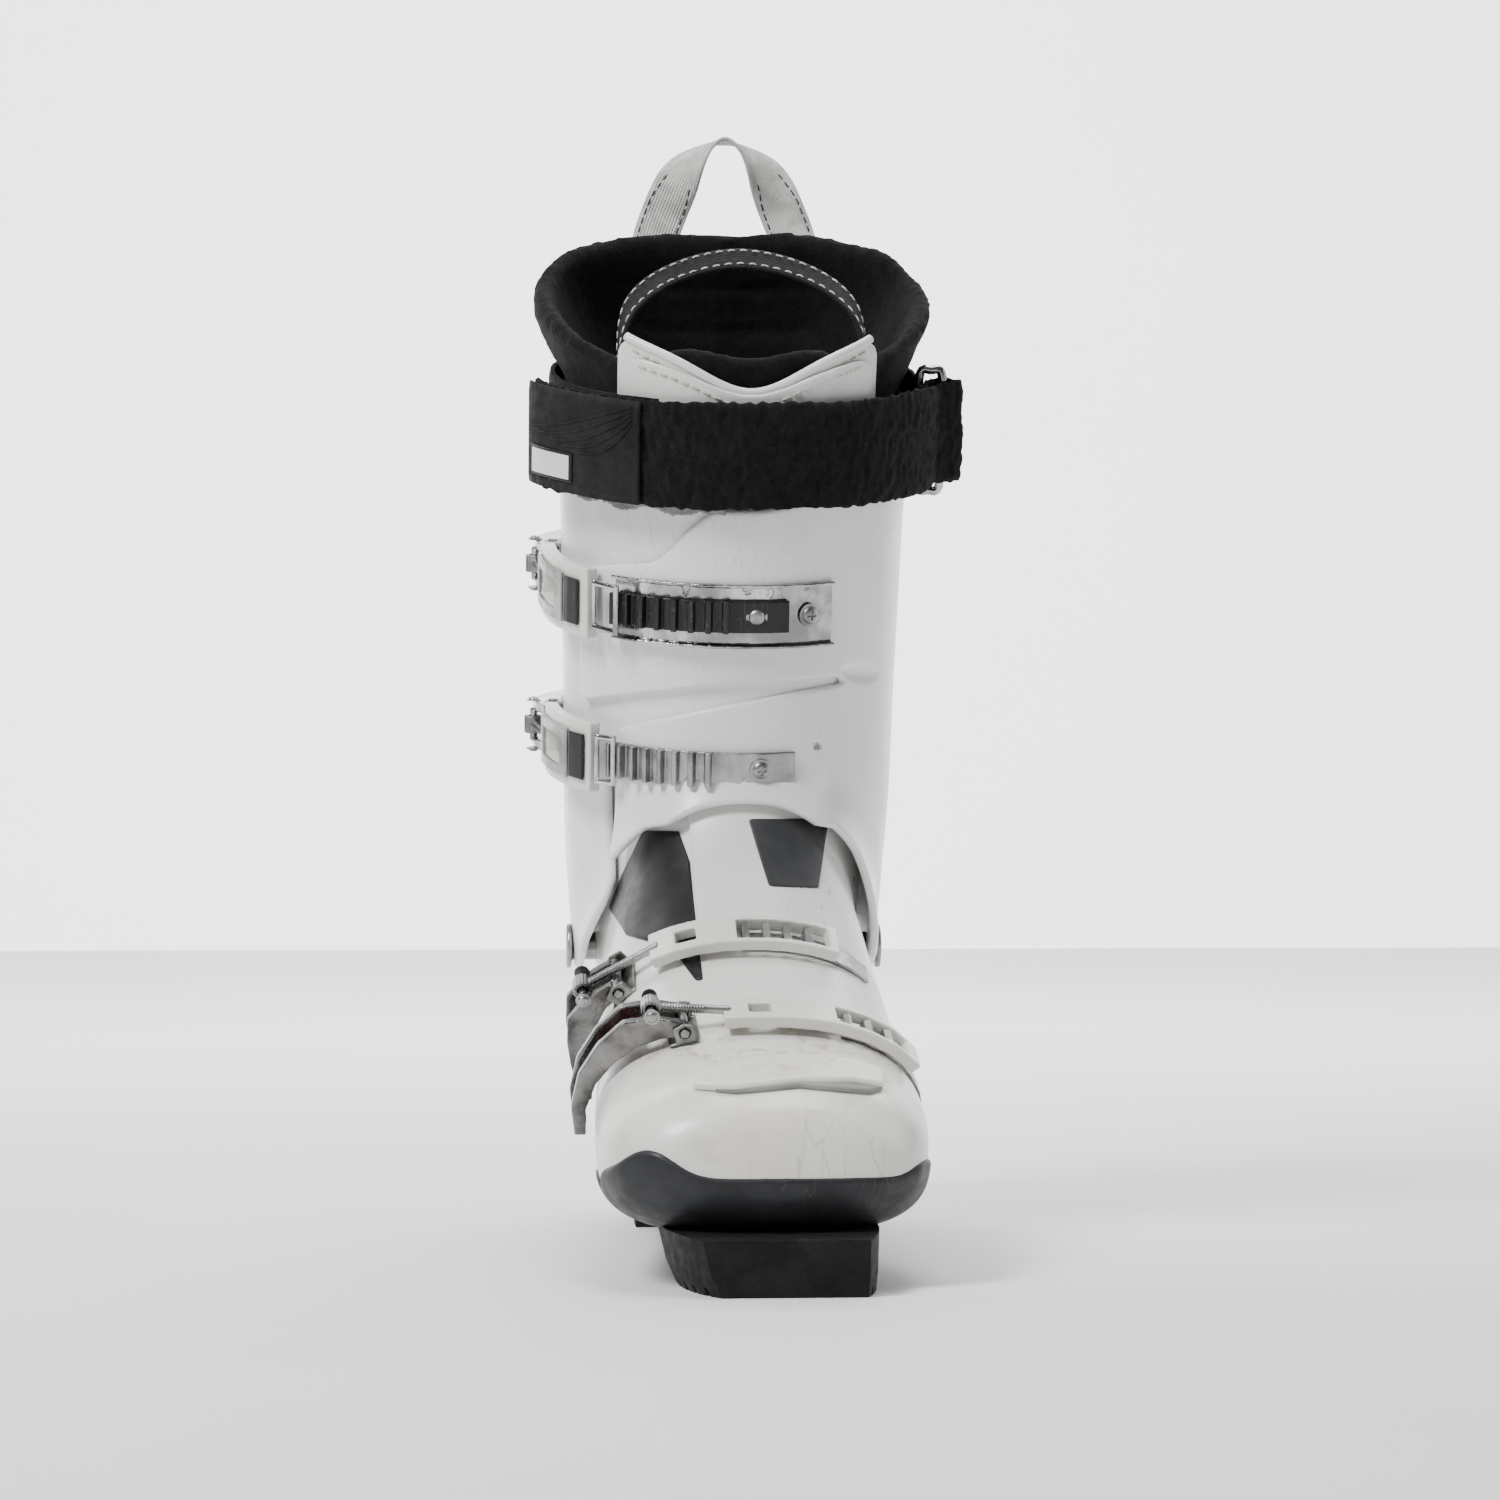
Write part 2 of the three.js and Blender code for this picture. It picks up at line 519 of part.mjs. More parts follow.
// Power strap: a fixed length round the back, a ring on the medial side and the free tail.
const RING_ANGLE = 78;
const strapHalf = STRAP_WIDTH / 2;
const TAIL_LOW = STRAP_THICKNESS + GAP * 2;
add('strap_back', seat(BAND.strap, strip(BAND.strap, RING_ANGLE + 6, 335,
  flat(0, STRAP_THICKNESS, strapHalf), 20)),
  BLACK, 0.95);
const RING_HEIGHT = 10.5;      // of the ring's outer bar, which the tail turns on
const ringBar = (height) => crossBar(BAND.strap, RING_ANGLE, height, 1.6, strapHalf + 4);
const ringSides = [-1, 1].map((end) => bar(
  place(BAND.strap, RING_ANGLE, 2.4, end * (strapHalf + 3)),
  place(BAND.strap, RING_ANGLE, RING_HEIGHT, end * (strapHalf + 3)), 1.6));
const ringBars = ringBar(RING_HEIGHT).add(ringBar(2.4));
add('strap_ring', ringBars.add(ringSides[0]).add(ringSides[1]), CHROME, 0.25, 1);
const tailHeight = (share) => TAIL_LOW + 3.4 * THREE.MathUtils.smoothstep(share, 0.8, 1)
  + 1.5 * (1 - THREE.MathUtils.smoothstep(share, 0, 0.2));
const TAIL_START = -73;
const TAIL_END = RING_ANGLE - 4;
const PATCH_END = -27;
const tail = strip(BAND.strap, TAIL_START, TAIL_END,
  (share) => [tailHeight(share), tailHeight(share) + STRAP_THICKNESS, -strapHalf, strapHalf], 20);
add('strap_tail', tail, BLACK, 0.95);
const patchLow = (share) => GAP + STRAP_THICKNESS
  + tailHeight(share * (PATCH_END - TAIL_START) / (TAIL_END - TAIL_START));
add('strap_end_patch', strip(BAND.strap, TAIL_START, PATCH_END,
  (share) => [patchLow(share), patchLow(share) + 1.3, 0.5 - strapHalf, strapHalf - 0.5], 7),
  0x1b1b1d, 0.5);

// ---------------------------------------------------------------- racks

// Teeth standing on a base, one every pitch degrees.
function rack(band, { from, to, pitch, base, tooth, half, end }) {
  const count = Math.round((to - from) / pitch);
  let solid = strip(band, from, end, flat(GAP, GAP + base, half), Math.max(5, Math.round((end - from) / 8)));
  for (let i = 0; i < count; i += 1) {
    const start = from + i * pitch;
    const wall = (share) => [GAP + base / 2, GAP + base + tooth * (share === 0 ? 0.8 : 1), -half, half];
    solid = solid.add(strip(band, start, start + pitch * 0.36, wall, 1));
  }
  return seat(band, solid);
}

const PLATE = 0.9;
const plate = strip(BAND.cuffTop, -38, 24, flat(GAP, GAP + PLATE, 11), 7)
  .add(strip(BAND.cuffTop, -38, 24, () => [GAP, GAP + 3, 9.9, 11], 7))
  .add(strip(BAND.cuffTop, -38, 24, () => [GAP, GAP + 3, -11, -9.9], 7));
add('rack_plate_top', seat(BAND.cuffTop, plate), CHROME, 0.18, 1);
const onPlate = { ...BAND.cuffTop, surface: surfaceMesh(CUFF_OUTER + PLATE + GAP * 2) };
add('rack_top', rack(onPlate, { from: -37, to: -2, pitch: 4.4, base: 2, tooth: 2.6, half: 5.5, end: 11 }),
  0x17181a, 0.45);
add('rack_rivet_top', head(onPlate, 2.5, 2 + GAP * 2, 4.2, 3), CHROME, 0.25, 1);
add('rack_screw_top', head(onPlate, 17, GAP, 3.2, 4.6), STEEL, 0.3, 1);
add('rack_low', rack(BAND.cuffLow, { from: -41, to: -6, pitch: 4.4, base: 1.4, tooth: 3, half: 6, end: 14 }),
  STEEL, 0.25, 1);
add('rack_screw_low', head(BAND.cuffLow, 4.5, 1.4 + GAP * 2, 4, 4.6), STEEL, 0.3, 1);
add('rack_instep', rack(BAND.instep, { from: -4, to: 26, pitch: 7.5, base: 1, tooth: 4.4, half: 5, end: 46 }),
  STEEL, 0.3, 1);
add('rack_toe', rack(BAND.toe, { from: 34, to: 57, pitch: 7.5, base: 1, tooth: 4.4, half: 5, end: 78 }),
  STEEL, 0.3, 1);

// ---------------------------------------------------------------- buckles

// Every buckle: a base with two ears, a pin, a two-prong lever on the pin, and an arm that is
// pulled over the pin by the lever. base, link, arm and handle are angles round the band.
const KNUCKLE_IN = 5;
const KNUCKLE_OUT = 8.6;
const EAR_IN = KNUCKLE_OUT + GAP;
const EAR_OUT = EAR_IN + 1.4;
const BASE_PIN_HEIGHT = 3.9;
const LINK_HEIGHT = 11.8;

function both(make) {
  return make(1).add(make(-1));
}

function baseOf(b) {
  const floor = strip(b.band, b.base - 7, b.base + 5, flat(GAP, GAP + 0.8, EAR_OUT), 4);
  const ears = both((side) => {
    const [a, c] = side > 0 ? [EAR_IN, EAR_OUT] : [-EAR_OUT, -EAR_IN];
    return strip(b.band, b.base - 4, b.base + 3.6,
      (share) => [GAP, BASE_PIN_HEIGHT + 3 - 2 * Math.abs(share - 0.5), a, c], 4);
  });
  const hole = crossBar(b.band, b.base, BASE_PIN_HEIGHT, PIN_RADIUS + GAP, EAR_OUT + 1);
  return seat(b.band, floor.add(ears)).subtract(hole);
}

function leverOf(b) {
  const prongs = both((side) => {
    const [a, c] = side > 0 ? [KNUCKLE_IN, KNUCKLE_OUT] : [-KNUCKLE_OUT, -KNUCKLE_IN];
    const low = (share) => (share < 0.2 ? 1.6 + 11 * share : 3.8);
    const high = (share) => (share < 0.3 ? 7 + 24 * share : 17 - 10 * share);
    const knuckle = bar(place(b.band, b.base, BASE_PIN_HEIGHT, a), place(b.band, b.base, BASE_PIN_HEIGHT, c),
      PIN_RADIUS + 1);
    return strip(b.band, b.base, b.handle, (share) => [low(share), high(share), a, c], 6).add(knuckle);
  });
  const end = strip(b.band, b.handle, b.handle + 6, flat(3.3, 6.3, KNUCKLE_OUT), 2);
  const link = crossBar(b.band, b.link, LINK_HEIGHT, PIN_RADIUS, KNUCKLE_IN + 1);
  const hole = crossBar(b.band, b.base, BASE_PIN_HEIGHT, PIN_RADIUS + GAP, EAR_OUT + 1);
  return prongs.add(end).add(link).subtract(hole);
}

const ROD_RADIUS = 1.5;
function rodOf(b) {
  const eye = crossBar(b.band, b.link, LINK_HEIGHT, 3.3, 3, 16);
  const rod = bar(place(b.band, b.link, LINK_HEIGHT), b.armEnd, ROD_RADIUS);
  const hole = crossBar(b.band, b.link, LINK_HEIGHT, PIN_RADIUS + GAP, 4);
  return rod.add(eye).subtract(hole);
}

function addBuckle(b) {
  b.armEnd = place(b.band, b.armFrom + 3, b.armLow + 3.2);
  const { name } = b;
  add(`${name}_base`, baseOf(b), STEEL, 0.4, 1);
  add(`${name}_pin`, crossBar(b.band, b.base, BASE_PIN_HEIGHT, PIN_RADIUS, EAR_OUT + 0.8), STEEL, 0.35, 1);
  add(`${name}_lever`, leverOf(b), 0x9a9b9c, 0.35, 1);
  const rodSpace = rodOf(b);
  const half = b.armHalf;
  let arm = strip(b.band, b.armFrom, b.armTo, flat(b.armLow, b.armLow + b.armThick, half), 8);
  for (const w of b.windows) {
    arm = arm.subtract(strip(b.band, w.from, w.to, flat(b.armLow - 3, b.armLow + 9, w.half), 4));
  }
  const rodClear = bar(place(b.band, b.link, LINK_HEIGHT), b.armEnd, ROD_RADIUS + GAP);
  add(`${name}_arm`, arm.subtract(rodClear), WHITE, 0.4);
  add(`${name}_rod`, rodSpace, STEEL, 0.3, 1);
}

const LOWER = { armLow: 2.2, armThick: 4, armHalf: ARM_WIDTH / 2 };
const lowerBuckles = [
  {
    ...LOWER, name: 'instep_buckle', band: BAND.instep, base: -50, link: -58, handle: -97,
    armFrom: -36, armTo: 30, windows: [{ from: -27, to: -20, half: 3.6 }, { from: -6, to: 27, half: 5.8 }],
  },
  {
    ...LOWER, name: 'toe_buckle', band: BAND.toe, base: -33, link: -42, handle: -84,
    armFrom: -17, armTo: 62, windows: [{ from: -6, to: 4, half: 3.6 }, { from: 31, to: 58, half: 5.8 }],
  },
];
for (const b of lowerBuckles) {
  addBuckle(b);
  add(`${b.name}_insert`, strip(b.band, b.link - 6, b.link - 20,
    (share) => [3.6, 9.4 - 3 * share, -KNUCKLE_IN + GAP, KNUCKLE_IN - GAP], 4), 0x6d1330, 0.45);
}

const UPPER = { armLow: 2.4, armThick: 4.6, armHalf: UPPER_ARM_WIDTH / 2 };
const upperBuckles = [
  {
    ...UPPER, name: 'top_buckle', band: BAND.cuffTop, base: -100, link: -109, handle: -143,
    armFrom: -88, armTo: -44, windows: [{ from: -82, to: -58, half: 5 }],
  },
  {
    ...UPPER, name: 'low_buckle', band: BAND.cuffLow, base: -98, link: -107, handle: -141,
    armFrom: -86, armTo: -45, windows: [{ from: -80, to: -58, half: 5 }],
  },
];
for (const b of upperBuckles) {
  addBuckle(b);
  const top = b.armLow + b.armThick + GAP;
  const [w] = b.windows;
  const rim = strip(b.band, w.from - 4, w.to + 3, flat(top, top + 1.2, w.half + 3.6), 5)
    .subtract(strip(b.band, w.from, w.to - 2, flat(top - 1, top + 3, w.half), 3));
  add(`${b.name}_frame`, rim, STEEL, 0.3, 1);
  add(`${b.name}_plate`, strip(b.band, w.to + 4, w.to + 11, flat(top, top + 1, 8), 3), 0x19191b, 0.4);
  const wireHalf = 7.6;
  const reach = b.band === BAND.cuffTop ? -33.8 : -37.8;
  const wireHeight = b.band === BAND.cuffTop ? 6.9 : 4.1;
  const legs = [1, -1].map((side) => bar(place(b.band, b.armTo + 1.6, 5.6, side * wireHalf),
    place(b.band, reach, wireHeight, side * wireHalf), WIRE_RADIUS, 8));
  const cross = bar(place(b.band, reach, wireHeight, -wireHalf - WIRE_RADIUS),
    place(b.band, reach, wireHeight, wireHalf + WIRE_RADIUS), WIRE_RADIUS, 8);
  const root = bar(place(b.band, b.armTo + 1.6, 5.6, -wireHalf - WIRE_RADIUS),
    place(b.band, b.armTo + 1.6, 5.6, wireHalf + WIRE_RADIUS), WIRE_RADIUS, 8);
  add(`${b.name}_loop`, legs[0].add(legs[1]).add(cross).add(root), CHROME, 0.2, 1);
}

export default boot;
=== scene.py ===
"""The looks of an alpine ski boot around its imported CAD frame. Metres, toe towards -Y, +Z up, medial
side towards +X. The plastic, liner and straps are skins of one boot form, which the CAD part uses too."""

import json
import math

import bmesh
import bpy
import numpy as np
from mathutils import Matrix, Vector, noise
from mathutils.bvhtree import BVHTree


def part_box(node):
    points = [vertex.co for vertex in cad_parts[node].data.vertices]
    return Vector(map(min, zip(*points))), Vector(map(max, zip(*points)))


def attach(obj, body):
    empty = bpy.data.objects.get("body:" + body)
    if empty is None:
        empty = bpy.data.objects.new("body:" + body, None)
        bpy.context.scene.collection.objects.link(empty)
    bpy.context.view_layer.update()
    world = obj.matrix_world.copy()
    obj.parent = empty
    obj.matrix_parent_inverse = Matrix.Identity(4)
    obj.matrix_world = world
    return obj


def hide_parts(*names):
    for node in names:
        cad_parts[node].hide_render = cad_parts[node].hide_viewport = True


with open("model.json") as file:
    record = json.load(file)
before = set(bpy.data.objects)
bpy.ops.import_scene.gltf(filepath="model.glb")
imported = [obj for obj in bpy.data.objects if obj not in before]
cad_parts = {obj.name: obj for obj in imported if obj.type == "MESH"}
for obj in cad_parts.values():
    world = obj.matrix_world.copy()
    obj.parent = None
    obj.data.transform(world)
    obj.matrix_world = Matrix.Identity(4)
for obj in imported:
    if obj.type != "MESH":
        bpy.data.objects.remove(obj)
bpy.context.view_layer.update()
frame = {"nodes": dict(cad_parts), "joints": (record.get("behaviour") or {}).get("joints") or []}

MM = 0.001

# ---------------------------------------------------------------- sizes shared with the CAD part

SOLE_LENGTH = 0.300
CUFF_HEIGHT = 0.330
WIDTH = 0.104
HEEL_BACK = 0.035
CUFF_OUTER = 7.8 * MM
STRAP_INNER = 8.3 * MM
STRAP_WIDTH = 36 * MM
STRAP_THICKNESS = 2.4 * MM
RING_ANGLE = 78
LATERAL_SHARE = 1.03
TOE_ROWS = 4

# Front and back points as shares of the sole length and the cuff height, half width as a share of
# WIDTH, and the exponents of the section's front and back halves.
SECTIONS = np.array([
    [0.968, 0.135, 0.968, 0.105, 0.080, 2.0, 2.0],
    [0.962, 0.158, 0.963, 0.088, 0.250, 2.2, 2.2],
    [0.945, 0.178, 0.946, 0.070, 0.360, 2.3, 2.6],
    [0.905, 0.200, 0.905, 0.056, 0.455, 2.3, 3.0],
    [0.830, 0.222, 0.830, 0.048, 0.498, 2.3, 3.2],
    [0.735, 0.262, 0.735, 0.043, 0.495, 2.2, 3.2],
    [0.640, 0.318, 0.630, 0.040, 0.475, 2.2, 3.2],
    [0.565, 0.375, 0.510, 0.040, 0.455, 2.2, 3.0],
    [0.520, 0.425, 0.350, 0.040, 0.440, 2.2, 3.0],
    [0.500, 0.460, 0.170, 0.045, 0.430, 2.2, 2.8],
    [0.494, 0.490, 0.035, 0.095, 0.430, 2.2, 2.5],
    [0.496, 0.525, 0.002, 0.205, 0.450, 2.2, 2.3],
    [0.505, 0.570, 0.010, 0.330, 0.470, 2.2, 2.2],
    [0.524, 0.630, 0.042, 0.450, 0.475, 2.2, 2.2],
    [0.550, 0.705, 0.085, 0.590, 0.482, 2.2, 2.2],
    [0.580, 0.795, 0.130, 0.740, 0.492, 2.2, 2.2],
    [0.614, 0.895, 0.178, 0.890, 0.510, 2.2, 2.2],
    [0.650, 1.000, 0.225, 1.040, 0.530, 2.2, 2.2],
    [0.690, 1.110, 0.275, 1.190, 0.550, 2.2, 2.2],
])
LAST = len(SECTIONS) - 1


def along(share):
    """Y of a share of the sole length, from the heel."""
    return HEEL_BACK - share * SOLE_LENGTH


def section_at(position):
    """One row of SECTIONS, or a smooth blend of four of them at a position between rows."""
    low = min(int(position), LAST - 1)
    t = position - low
    a, b, c, d = (SECTIONS[min(max(k, 0), LAST)] for k in (low - 1, low, low + 1, low + 2))
    return 0.5 * (2 * b + (c - a) * t + (2 * a - 5 * b + 4 * c - d) * t**2 + (3 * b - a - 3 * c + d) * t**3)


def ring(position, offset, angles):
    """Points of one section, grown by offset, which is a number or one value for each angle."""
    s = section_at(position)
    front = np.array([0, along(s[0]), s[1] * CUFF_HEIGHT])
    back = np.array([0, along(s[2]), s[3] * CUFF_HEIGHT])
    middle = (front + back) / 2
    reach = front - middle
    length = np.linalg.norm(reach)
    cos, sin = np.cos(angles), np.sin(angles)
    power = 2 / np.where(cos >= 0, s[5], s[6])
    deep = np.sign(cos) * np.abs(cos) ** power * np.maximum(length + offset, 0.6 * MM)
    side = np.where(sin < 0, LATERAL_SHARE, 1.0)
    wide = np.sign(sin) * np.abs(sin) ** power * np.maximum(s[4] * WIDTH + offset, 0.6 * MM) * side
    tip = -offset * math.cos(math.pi / 2 * position / TOE_ROWS) ** 2 if position < TOE_ROWS else 0
    points = middle + np.outer(deep, reach / length)
    points[:, 0] += wide
    points[:, 1] += tip
    return points


def even_angles(count):
    """Angles whose points lie evenly round a section, which a superellipse's own angle doesn't give."""
    fine = np.linspace(0, 2 * math.pi, 2001)
    points = ring(13, 0, fine)
    walked = np.concatenate([[0], np.cumsum(np.linalg.norm(np.diff(points, axis=0), axis=1))])
    return np.interp(np.linspace(0, walked[-1], count, endpoint=False), walked, fine)


def form(offset, start=0, end=LAST, rows=100, columns=180):
    """Points and triangles of the form's skin. offset is a number or a function of position and angles."""
    angles = even_angles(columns)
    grow = offset if callable(offset) else lambda position, angles: offset
    positions = np.linspace(start, end, rows)
    points = np.concatenate([ring(p, grow(p, angles), angles) for p in positions])
    r, c = np.meshgrid(np.arange(rows - 1), np.arange(columns), indexing="ij")
    a = (r * columns + c).ravel()
    b = (r * columns + (c + 1) % columns).ravel()
    faces = np.concatenate([np.stack([a, b, b + columns], 1), np.stack([a, b + columns, a + columns], 1)])
    if start == 0:
        first = np.arange(columns)
        points = np.concatenate([points, points[:columns].mean(axis=0, keepdims=True)])
        cap = np.stack([np.full(columns, len(points) - 1), (first + 1) % columns, first], 1)
        faces = np.concatenate([faces, cap])
    return points, faces


# ---------------------------------------------------------------- mesh work

def normals_of(points, faces):
    """Outward directions at the points, weighted by the areas of the triangles round them."""
    corner = points[faces]
    cross = np.cross(corner[:, 1] - corner[:, 0], corner[:, 2] - corner[:, 0])
    normals = np.zeros_like(points)
    for k in range(3):
        np.add.at(normals, faces[:, k], cross)
    return normals / np.maximum(np.linalg.norm(normals, axis=1, keepdims=True), 1e-12)


def clip(points, faces, value):
    """Keeps the part of a skin where value, one number a point, is above 0, with a smooth new edge."""
    points, value = points.copy(), value.copy()
    sides = np.concatenate([faces[:, [0, 1]], faces[:, [1, 2]], faces[:, [2, 0]]])
    edges = np.unique(np.sort(sides, axis=1), axis=0)
    a, b = edges[:, 0], edges[:, 1]
    crossing = (value[a] > 0) != (value[b] > 0)
    a, b = a[crossing], b[crossing]
    t = value[a] / (value[a] - value[b])
    for near, far, share in ((a, b, t), (b, a, 1 - t)):
        close = share < 0.3
        points[near[close]] += (points[far[close]] - points[near[close]]) * share[close, None]
        value[near[close]] = 0
    value[np.abs(value) < 1e-9] = 0
    a, b = edges[:, 0], edges[:, 1]
    cut = (value[a] * value[b]) < 0
    a, b = a[cut], b[cut]
    t = value[a] / (value[a] - value[b])
    fresh = points[a] + (points[b] - points[a]) * t[:, None]
    made = {(int(i), int(j)): len(points) + k for k, (i, j) in enumerate(zip(a, b))}
    points = np.concatenate([points, fresh])
    sign = np.sign(value)
    kept = []
    for tri in faces[(sign[faces] >= 0).all(axis=1) & (sign[faces] > 0).any(axis=1)]:
        kept.append(tuple(tri))
    mixed = faces[(sign[faces] > 0).any(axis=1) & (sign[faces] < 0).any(axis=1)]
    for tri in mixed:
        loop = []
        for i, j in zip(tri, np.roll(tri, -1)):
            if sign[i] >= 0:
                loop.append(int(i))
            if sign[i] * sign[j] < 0:
                loop.append(made[(min(int(i), int(j)), max(int(i), int(j)))])
        for k in range(1, len(loop) - 1):
            kept.append((loop[0], loop[k], loop[k + 1]))
    kept = np.array(kept)
    used, inverse = np.unique(kept, return_inverse=True)
    return points[used], inverse.reshape(-1, 3)


def thicken(points, faces, wall, steps=4):
    """A closed solid from a skin: wall thick inwards, with a round rim along every edge."""
    wall = np.broadcast_to(wall, (len(points),))
    normals = normals_of(points, faces)
    inner = points - normals * wall[:, None]
    count = len(points)
    directed = np.concatenate([faces[:, [0, 1]], faces[:, [1, 2]], faces[:, [2, 0]]])
    codes = directed[:, 0].astype(np.int64) * count + directed[:, 1]
    back = directed[:, 1].astype(np.int64) * count + directed[:, 0]
    border = directed[~np.isin(codes, back)]
    outward = np.zeros_like(points)
    for i, j in border:
        side = np.cross(points[j] - points[i], normals[i] + normals[j])
        outward[i] += side
        outward[j] += side
    outward /= np.maximum(np.linalg.norm(outward, axis=1, keepdims=True), 1e-12)
    all_points = [points, inner]
    all_faces = [faces, faces[:, ::-1] + count]
    rim = np.unique(border)
    place = {int(v): k for k, v in enumerate(rim)}
    layers = []
    for step in range(1, steps):
        angle = math.pi * step / steps
        middle = (points[rim] + inner[rim]) / 2
        half = wall[rim, None] / 2
        layer = middle + normals[rim] * half * math.cos(angle) + outward[rim] * half * math.sin(angle)
        layers.append(2 * count + (step - 1) * len(rim))
        all_points.append(layer)
    quads = []
    for i, j in border:
        column_i = [int(i)] + [base + place[int(i)] for base in layers] + [int(i) + count]
        column_j = [int(j)] + [base + place[int(j)] for base in layers] + [int(j) + count]
        for k in range(steps):
            quads.append((column_i[k], column_i[k + 1], column_j[k + 1]))
            quads.append((column_i[k], column_j[k + 1], column_j[k]))
    all_faces.append(np.array(quads))
    return np.concatenate(all_points), np.concatenate(all_faces)


def linked(name, data, finish=None):
    """A new object in the scene, with its material when it has one."""
    if finish is not None:
        data.materials.append(finish.material)
    made = bpy.data.objects.new(name, data)
    bpy.context.scene.collection.objects.link(made)
    return made


def search_tree(points, faces):
    return BVHTree.FromPolygons([tuple(p) for p in points], [tuple(int(i) for i in f) for f in faces])


def coordinates_of(mesh, what="co"):
    """The mesh's vertices, or their normals, as an array with one row each."""
    values = np.empty(len(mesh.vertices) * 3)
    mesh.vertices.foreach_get(what, values)
    return values.reshape(-1, 3)


def move_vertices(mesh, points):
    mesh.vertices.foreach_set("co", points.ravel())
    mesh.update()


def shell_piece(name, points, faces, value, wall, steps, material):
    """A solid of the part of a skin where value is above 0. steps is the roundness of its rim."""
    points, faces = clip(points, faces, value)
    points, faces = thicken(points, faces, wall, steps)
    mesh = bpy.data.meshes.new(name)
    mesh.from_pydata([tuple(p) for p in points], [], [tuple(int(i) for i in f) for f in faces])
    mesh.validate()
    mesh.shade_smooth()
    return linked(name, mesh, material)


def apply_modifiers(piece):
    depsgraph = bpy.context.evaluated_depsgraph_get()
    mesh = bpy.data.meshes.new_from_object(piece.evaluated_get(depsgraph))
    piece.modifiers.clear()
    piece.data = mesh
    return piece


def show(piece, body, slot, *nodes):
    """Puts a finished piece on its body, in place of CAD nodes. The slot argument is not used."""
    if nodes:
        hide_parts(*nodes)
    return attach(piece, body)


def smoothstep(x, low, high):
    t = np.clip((np.asarray(x, float) - low) / (high - low), 0, 1)
    return t * t * (3 - 2 * t)


def round_min(radius, *values):
    """The smallest of several distances, with the corners between them rounded."""
    result = values[0]
    for other in values[1:]:
        blend = np.clip(0.5 + 0.5 * (other - result) / radius, 0, 1)
        result = other * (1 - blend) + result * blend - radius * blend * (1 - blend)
    return result


# ---------------------------------------------------------------- bands round the boot

class Band:
    """A plane across the boot. Angles go round its axis from the instep or shin, medial positive."""

    def __init__(self, share, lean_degrees, depth, offset):
        position = 4.0
        while section_at(position)[1] < share:
            position += 0.01
        lean = math.radians(lean_degrees)
        front = section_at(position)
        self.outward = np.array([0, -math.cos(lean), -math.sin(lean)])
        self.axis = np.array([0, -math.sin(lean), math.cos(lean)])
        start = np.array([0, along(front[0]), front[1] * CUFF_HEIGHT])
        self.centre = start - self.outward * depth
        points, faces = form(offset, start=1, rows=110, columns=120)
        self.tree = search_tree(points, faces)
        self.cache = {}

    def hit(self, degrees):
        angle = math.radians(degrees)
        direction = self.outward * math.cos(angle) + np.array([math.sin(angle), 0, 0])
        return np.array(self.tree.ray_cast(Vector(self.centre), Vector(direction))[0])

    def frame(self, degrees):
        key = round(degrees, 3)
        if key not in self.cache:
            tangent = self.hit(degrees + 3) - self.hit(degrees - 3)
            tangent /= np.linalg.norm(tangent)
            self.cache[key] = (self.hit(degrees), tangent, np.cross(tangent, self.axis))
        return self.cache[key]

    def place(self, degrees, height, across=0.0):
        base, _, normal = self.frame(degrees)
        return base + normal * height * MM + self.axis * across * MM

    def coordinates(self, points):
        """Angle in degrees and distance along the axis in millimetres, for many points."""
        away = points - self.centre
        angle = np.degrees(np.arctan2(away[:, 0], away @ self.outward))
        return angle, (away @ self.axis) / MM


BANDS = {
    "cuff_top": Band(0.655, 14, 0.066, CUFF_OUTER),
    "cuff_low": Band(0.497, 11, 0.066, CUFF_OUTER),
    "instep": Band(0.318, -60, 0.050, 0),
    "toe": Band(0.243, -70, 0.040, 0),
    "strap": Band(0.815, 14, 0.064, STRAP_INNER),
}


def sweep(name, sections, material, closed=False, bevel=0.0):
    """A closed piece from a row of sections with the same number of corners."""
    count = len(sections[0])
    points = np.array(sections).reshape(-1, 3)
    rows = len(sections)
    faces = []
    for r in range(rows if closed else rows - 1):
        for i in range(count):
            a, b = r * count + i, r * count + (i + 1) % count
            c, d = ((r + 1) % rows) * count + (i + 1) % count, ((r + 1) % rows) * count + i
            faces.append((a, b, c, d))
    if not closed:
        faces.append(tuple(reversed(range(count))))
        faces.append(tuple(range((rows - 1) * count, rows * count)))
    mesh = bpy.data.meshes.new(name)
    mesh.from_pydata([tuple(p) for p in points], [], faces)
    piece = linked(name, mesh, material)
    fix_normals(piece)
    if bevel:
        round_edges(piece, bevel)
    return piece


def fix_normals(piece):
    edit = bmesh.new()
    edit.from_mesh(piece.data)
    bmesh.ops.recalc_face_normals(edit, faces=edit.faces)
    if edit.calc_volume(signed=True) < 0:
        bmesh.ops.reverse_faces(edit, faces=edit.faces)
    edit.to_mesh(piece.data)
    edit.free()


def round_edges(piece, width, segments=3, angle=35):
    modifier = piece.modifiers.new("round", "BEVEL")
    modifier.width = width
    modifier.segments = segments
    modifier.limit_method = "ANGLE"
    modifier.angle_limit = math.radians(angle)
    modifier.harden_normals = True
    piece.data.shade_smooth()
    apply_modifiers(piece)
    return piece


def strip(name, band, start, end, profile, material=None, steps=24, bevel=0.0):
    """A strip that follows the surface. profile(share) gives low, high, across from, across to in mm."""
    sections = []
    for i in range(steps + 1):
        share = i / steps
        low, high, left, right = profile(share)
        base, _, normal = band.frame(start + (end - start) * share)
        sections.append([base + (normal * h + band.axis * w) * MM
                         for h, w in ((low, left), (high, left), (high, right), (low, right))])
    return sweep(name, sections, material, bevel=bevel)


